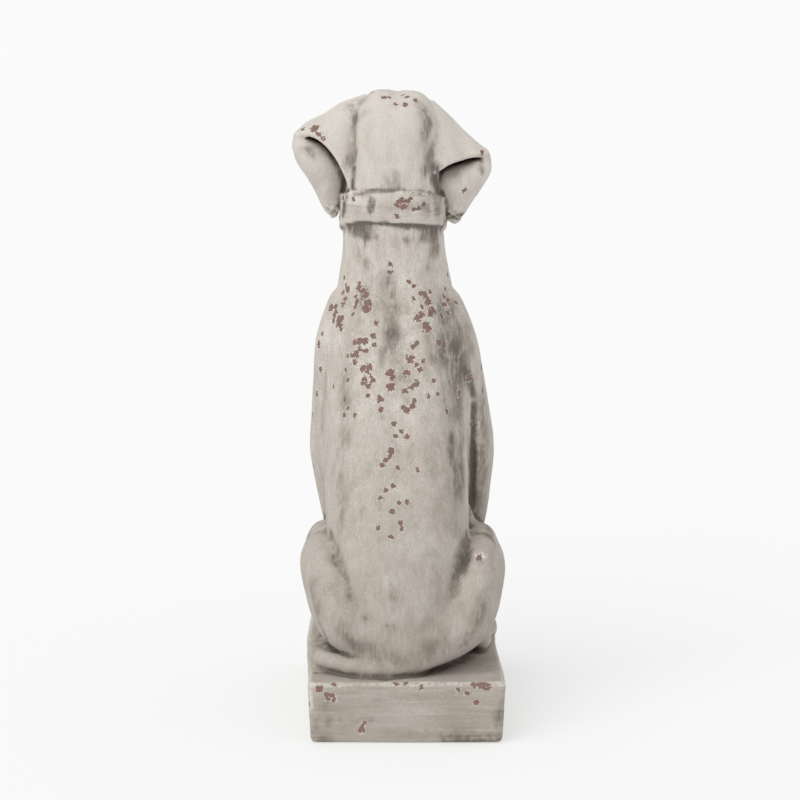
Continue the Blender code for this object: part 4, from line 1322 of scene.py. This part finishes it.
def face_shade_field(points):
    """A value for every point: how dark the painted shade on both sides of the face makes it."""
    value = np.zeros(len(points))
    for path, radius, strength in both_sides(FACE_SHADE):
        for landmark in curve(path, 6)[:-1] or path:
            away = np.sqrt(far_from(posed(place(*landmark)), points))
            near = np.maximum(0.0, 1.0 - away / (radius * PART))
            value = np.maximum(value, strength * near * (2 - near))
    return value


# stains and painted shade, on the back and on the face, in one value
stained_and_shaded = 1.0 - (1.0 - stain_and_shade_field(points)) * (1.0 - face_shade_field(points))
attribute(casting, "stain", stained_and_shaded)
print(sum(map(len, STAINS_AND_SHADE.values())) + len(FACE_SHADE), "stains_and_shade")

# %% [markdown]
# ## A shorthand for nodes
#
# A material is a recipe: take a pattern, sharpen it, mix two colours by it. A small helper
# adds a node and wires it in one line. Effects are node groups with named inputs and
# outputs, so they can be used again on other parts.

# %% A recipe of nodes
WHITE = (1.0, 1.0, 1.0, 1.0)


class Recipe:
    """Adds nodes to a tree and joins them up, one line for each step."""

    def __init__(self, tree):
        self.tree = tree

    def feed(self, node, values):
        """Joins outputs to the named inputs of a node, or writes numbers and colours on them."""
        for name, value in values.items():
            if isinstance(value, bpy.types.NodeSocket):
                self.tree.links.new(value, node.inputs[name])
            else:
                node.inputs[name].default_value = value
        return node

    def add(self, kind, *values, **settings):
        """A new node with its settings, its first inputs fed with the values."""
        node = self.tree.nodes.new(kind)
        for name, value in settings.items():
            setattr(node, name, value)
        return self.feed(node, dict(enumerate(values)))

    def reckon(self, operation, *values):
        """Arithmetic with numbers or outputs."""
        return self.add("ShaderNodeMath", *values, operation=operation).outputs[0]

    def times(self, first, second):
        """The product of two numbers or outputs."""
        return self.reckon("MULTIPLY", first, second)

    def step(self, value, low, high, bottom=0.0, top=1.0):
        """Goes smoothly from bottom to top while the value goes from low to high."""
        values = (value, low, high, bottom, top)
        node = self.add("ShaderNodeMapRange", *values, interpolation_type="SMOOTHSTEP")
        return node.outputs["Result"]

    def noise(self, where, scale, detail=2.0, rough=0.5, stretch=(1.0, 1.0, 1.0)):
        """A noise pattern around 0.5, longer along the axes whose stretch is small."""
        mapped = self.feed(self.add("ShaderNodeMapping"), {"Vector": where, "Scale": stretch})
        made = self.feed(self.add("ShaderNodeTexNoise"), {
            "Vector": mapped.outputs["Vector"], "Scale": scale, "Detail": detail, "Roughness": rough})
        return made.outputs["Fac"]

    def mix(self, share, first, second, kind="Color"):
        """Goes from the first colour, or number, to the second as the share goes from 0 to 1."""
        node = self.add("ShaderNodeMix", data_type="RGBA" if kind == "Color" else "FLOAT")
        index = {socket.identifier: i for i, socket in enumerate(node.inputs)}
        names = ("Factor_Float", "A_" + kind, "B_" + kind)
        self.feed(node, dict(zip((index[name] for name in names), (share, first, second))))
        return next(socket for socket in node.outputs if socket.identifier == "Result_" + kind)

    def pick(self, share, first, second):
        """The same for numbers."""
        return self.mix(share, first, second, "Float")

    def wash(self, color, layers):
        """Lays colours over the first, each by the rise of a mask from low to high."""
        for mask, low, high, most, over in layers:
            color = self.mix(self.step(mask, low, high, 0.0, most), color, over)
        return color


def effect(name, gives, takes):
    """An empty node group with its sockets: its recipe, its inputs and its output node."""
    tree = bpy.data.node_groups.new(name, "ShaderNodeTree")
    for in_out, titles in (("INPUT", takes), ("OUTPUT", gives)):
        for title in titles.split():
            kind = {"Place": "Vector", "Color": "Color"}.get(title, "Float")
            tree.interface.new_socket(title, in_out=in_out, socket_type="NodeSocket" + kind)
    recipe = Recipe(tree)
    return recipe, recipe.add("NodeGroupInput").outputs, recipe.add("NodeGroupOutput")


# %% [markdown]
# ## Old whitewash
#
# The paint was brushed on in several coats: up and down the dog, and along the block. Fine
# stretched noise gives the marks of the bristles, and two wide soft patterns the places
# where the coat is thin. A coat is (mask, low, high, most, colour).

# %% Brushed whitewash
def linear(red, green, blue):
    """A colour as it is read from a picture, 0 to 255, as the light that Blender mixes."""
    parts = [((c / 255 + 0.055) / 1.055) ** 2.4 if c > 10 else c / 3295 for c in (red, green, blue)]
    return (*parts, 1.0)


CLEAN = linear(194, 186, 176)
THIN = linear(164, 154, 143)
CHALKY = linear(219, 213, 205)

recipe, given, out = effect("brushed_whitewash", "Color Height", "Place Along")
where = given["Place"]
upright = recipe.noise(where, 560, 5, 0.7, (1.0, 1.0, 0.045))
level = recipe.reckon("MULTIPLY_ADD", recipe.noise(where, 230, 6, 0.66, (0.06, 0.06, 1.0)), 1.7, -0.35)
streak = recipe.pick(given["Along"], upright, level)
upright = recipe.noise(where, 85, 5, 0.65, (1.0, 1.0, 0.5))
level = recipe.noise(where, 60, 5, 0.62, (0.2, 0.2, 1.0))
thin = recipe.pick(0.5, recipe.noise(where, 17, 3, 0.55), recipe.pick(given["Along"], upright, level))
chalk = recipe.noise(where, 880, 4, 0.75, (1.0, 1.0, 0.7))
color = recipe.wash(CLEAN, (
    (thin, 0.49, 0.68, 1.0, THIN), (thin, 0.51, 0.36, 0.65, CHALKY),
    (streak, 0.53, 0.70, 0.60, THIN), (streak, 0.47, 0.30, 0.60, CHALKY),
    (chalk, 0.52, 0.64, 0.80, THIN), (chalk, 0.47, 0.36, 0.60, CHALKY),
))
height = recipe.reckon("MULTIPLY_ADD", streak, 0.50, recipe.times(chalk, 0.45))
recipe.feed(out, {"Color": color, "Height": height})
whitewash = recipe.tree

# %% [markdown]
# ## Dirt and painted shade
#
# Rain carries dust down the form and leaves it wherever the surface turns away or inwards,
# and the same darkening paints the shade that falls there. The mask adds up how hollow, how sheltered
# and how stained or shaded a place is, and a blotchy pattern breaks its outline.

# %% Dirt that gathers, and painted shade
recipe, given, out = effect("gathered_dirt_and_painted_shade", "Dirt_and_shade", "Place Along Hollow Shelter Stain")
where = given["Place"]
blot = recipe.noise(where, 75, 5, 0.62, (1.0, 1.0, 0.6))
drip = recipe.noise(where, 330, 4, 0.65, (1.0, 1.0, 0.12))
wipe = recipe.noise(where, 260, 4, 0.65, (0.08, 0.08, 1.0))
uneven = recipe.pick(0.38, blot, recipe.pick(given["Along"], drip, wipe))
# hollows and shelter darken as dirt and as painted shade
held_and_shaded = recipe.reckon("MULTIPLY_ADD", given["Shelter"], 0.75, recipe.times(given["Hollow"], 0.55))
held_and_shaded = recipe.reckon("ADD", held_and_shaded, recipe.reckon("MULTIPLY_ADD", uneven, 0.8, -0.4))
held_and_shaded = recipe.step(held_and_shaded, 0.22, 1.10, 0.0, 0.75)
stain = recipe.times(given["Stain"], recipe.step(uneven, 0.30, 0.62, 0.45, 1.35))
unmarked = recipe.times(recipe.reckon("SUBTRACT", 1.0, held_and_shaded), recipe.reckon("SUBTRACT", 1.0, stain))
recipe.feed(out, {"Dirt_and_shade": recipe.step(unmarked, 1.0, 0.0)})
dirt_and_shade = recipe.tree

# %% [markdown]
# ## Flakes
#
# Where the paint has let go, the red-brown clay shows, darkened by weather. A flake has a
# torn outline, so the soft mark that says where it is gets a noise added before it is cut
# off sharply. The same value, cut a little earlier, gives the raised rim of the paint.

# %% Flaked paint
recipe, given, out = effect("flaked_paint", "Bare Rim Height", "Place Flaking Flecked")
flaking, flecked = given["Flaking"], given["Flecked"]
torn = recipe.reckon("MULTIPLY_ADD", recipe.noise(given["Place"], 340, 2, 0.45), 2.8, -1.4)
flake = recipe.reckon("ADD", torn, recipe.step(flaking, 0.10, 0.85, 0.0, 1.15))
flake = recipe.times(flake, recipe.step(flaking, 0.02, 0.25))
speck = recipe.noise(given["Place"], 640, 3, 0.6)
speck = recipe.reckon("SUBTRACT", speck, recipe.step(flecked, 0.0, 0.8, 0.80, 0.63))
flake = recipe.reckon("MAXIMUM", flake, recipe.step(speck, -0.01, 0.03, 0.0, 0.9))
recipe.feed(out, {
    "Bare": recipe.step(flake, 0.50, 0.60), "Rim": recipe.step(flake, 0.10, 0.45),
    "Height": recipe.step(flake, 0.40, 0.62, 0.35, 0.0),
})
flaked = recipe.tree

# %% [markdown]
# ## The finish
#
# The layers are mixed from the bottom up: whitewash, darker towards the bottom and paler
# towards the top, dirt and painted shade, pale rubbed edges, and bare clay where the paint is gone.
# The heights of the bristle marks and of the paint's thickness go to one Bump node, in millimetres.

# %% Weathered whitewash, with painted shade
# the darker tones paint dirt and shade, and the lower part of the figure
GRIME_AND_SHADE = linear(98, 92, 83)
DULLER = linear(146, 137, 126)
RUBBED = linear(214, 208, 199)
CLAY = linear(139, 111, 102)
DARK_CLAY = linear(122, 98, 90)
ONE_MILLIMETRE = 0.001

paint = bpy.data.materials.new("weathered_whitewash")
paint.use_nodes = True
paint.node_tree.nodes.clear()
recipe = Recipe(paint.node_tree)
where = recipe.add("ShaderNodeTexCoord").outputs["Object"]
up = recipe.add("ShaderNodeSeparateXYZ", where).outputs["Z"]
measured = {"Place": where}
for name in ("Along", "Hollow", "Edge", "Shelter", "Flaking", "Flecked", "Stain"):
    measured[name] = recipe.add("ShaderNodeAttribute", attribute_name=name.lower()).outputs["Fac"]
layers = []
for group in (whitewash, dirt_and_shade, flaked):
    node = recipe.add("ShaderNodeGroup", node_tree=group)
    recipe.feed(node, {socket.name: measured[socket.name] for socket in node.inputs})
    layers.append(node.outputs)
coat, grime_and_shade, off = layers

worn = recipe.step(measured["Edge"], 0.10, 0.75, 0.0, 0.8)
worn = recipe.times(worn, recipe.step(recipe.noise(where, 300, 5, 0.7), 0.38, 0.58))
worn = recipe.times(worn, recipe.step(up, 0.012, 0.035))
# darker towards the bottom and paler towards the top, then dirt and painted shade
color = recipe.wash(coat["Color"], (
    (up, 0.46, 0.0, 0.52, DULLER), (up, 0.44, 0.66, 0.45, CHALKY),
    (grime_and_shade["Dirt_and_shade"], 0.0, 0.55, 0.85, DULLER), (grime_and_shade["Dirt_and_shade"], 0.30, 1.0, 0.95, GRIME_AND_SHADE),
))
clay = recipe.wash(CLAY, [(recipe.noise(where, 700, 3), 0.38, 0.62, 1.0, DARK_CLAY)])
for share, over in ((worn, RUBBED), (recipe.times(off["Rim"], 0.60), CHALKY), (off["Bare"], clay)):
    color = recipe.mix(share, color, over)

bump = recipe.feed(recipe.add("ShaderNodeBump"), {
    "Distance": ONE_MILLIMETRE, "Height": recipe.reckon("ADD", coat["Height"], off["Height"])})
shader = recipe.feed(recipe.add("ShaderNodeBsdfPrincipled"), {
    "Base Color": color, "Normal": bump.outputs["Normal"],
    "Roughness": recipe.step(off["Bare"], 0.0, 1.0, 0.78, 0.92)})
recipe.add("ShaderNodeOutputMaterial", shader.outputs["BSDF"])
casting.data.materials.append(paint)
print("paint of", len(paint.node_tree.nodes), "nodes")

# %% [markdown]
# ## Floor and light
#
# The photograph is a studio picture: a pale floor that runs into a white background, one
# broad soft light high up on the left behind the camera, and much bounced light. A sun lamp
# with a wide disc gives one soft shadow, and the floor stays even out to its far edge.

# %% Floor
FLOOR_HALF = 14.0

bm = bmesh.new()
bmesh.ops.create_grid(bm, x_segments=1, y_segments=1, size=FLOOR_HALF)
floor = object_from(bm, "floor")
pale = bpy.data.materials.new("pale_floor")
pale.use_nodes = True
Recipe(pale.node_tree).feed(pale.node_tree.nodes["Principled BSDF"], {
    "Base Color": (0.42, 0.42, 0.42, 1.0), "Emission Color": WHITE, "Emission Strength": 0.50,
    "Roughness": 0.95, "Specular IOR Level": 0.1})
floor.data.materials.append(pale)

# %% Light
BOUNCED_LIGHT = 0.78
KEY_STRENGTH = 1.25
KEY_SOFTNESS = math.radians(50.0)
KEY_FROM = Vector((0.75, 0.9, 1.25))

world = bpy.data.worlds.new("studio")
bpy.context.scene.world = world
world.use_nodes = True
recipe = Recipe(world.node_tree)
bounced = recipe.feed(world.node_tree.nodes["Background"], {"Color": WHITE, "Strength": BOUNCED_LIGHT})
backdrop = recipe.add("ShaderNodeBackground", WHITE)
to_camera = recipe.add("ShaderNodeLightPath").outputs["Is Camera Ray"]
shown = recipe.add("ShaderNodeMixShader", to_camera, bounced.outputs[0], backdrop.outputs[0])
recipe.feed(world.node_tree.nodes["World Output"], {"Surface": shown.outputs[0]})

key = bpy.data.objects.new("key", bpy.data.lights.new("key", "SUN"))
key.data.energy = KEY_STRENGTH
key.data.angle = KEY_SOFTNESS
key.rotation_euler = (-KEY_FROM).to_track_quat("-Z", "Y").to_euler()
bpy.context.scene.collection.objects.link(key)
bpy.context.scene.view_settings.view_transform = "Standard"
print("key light from", [round(v, 2) for v in KEY_FROM.normalized()])

# %% Ride on the solid and finish
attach(casting, "root")
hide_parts("dog_statue")
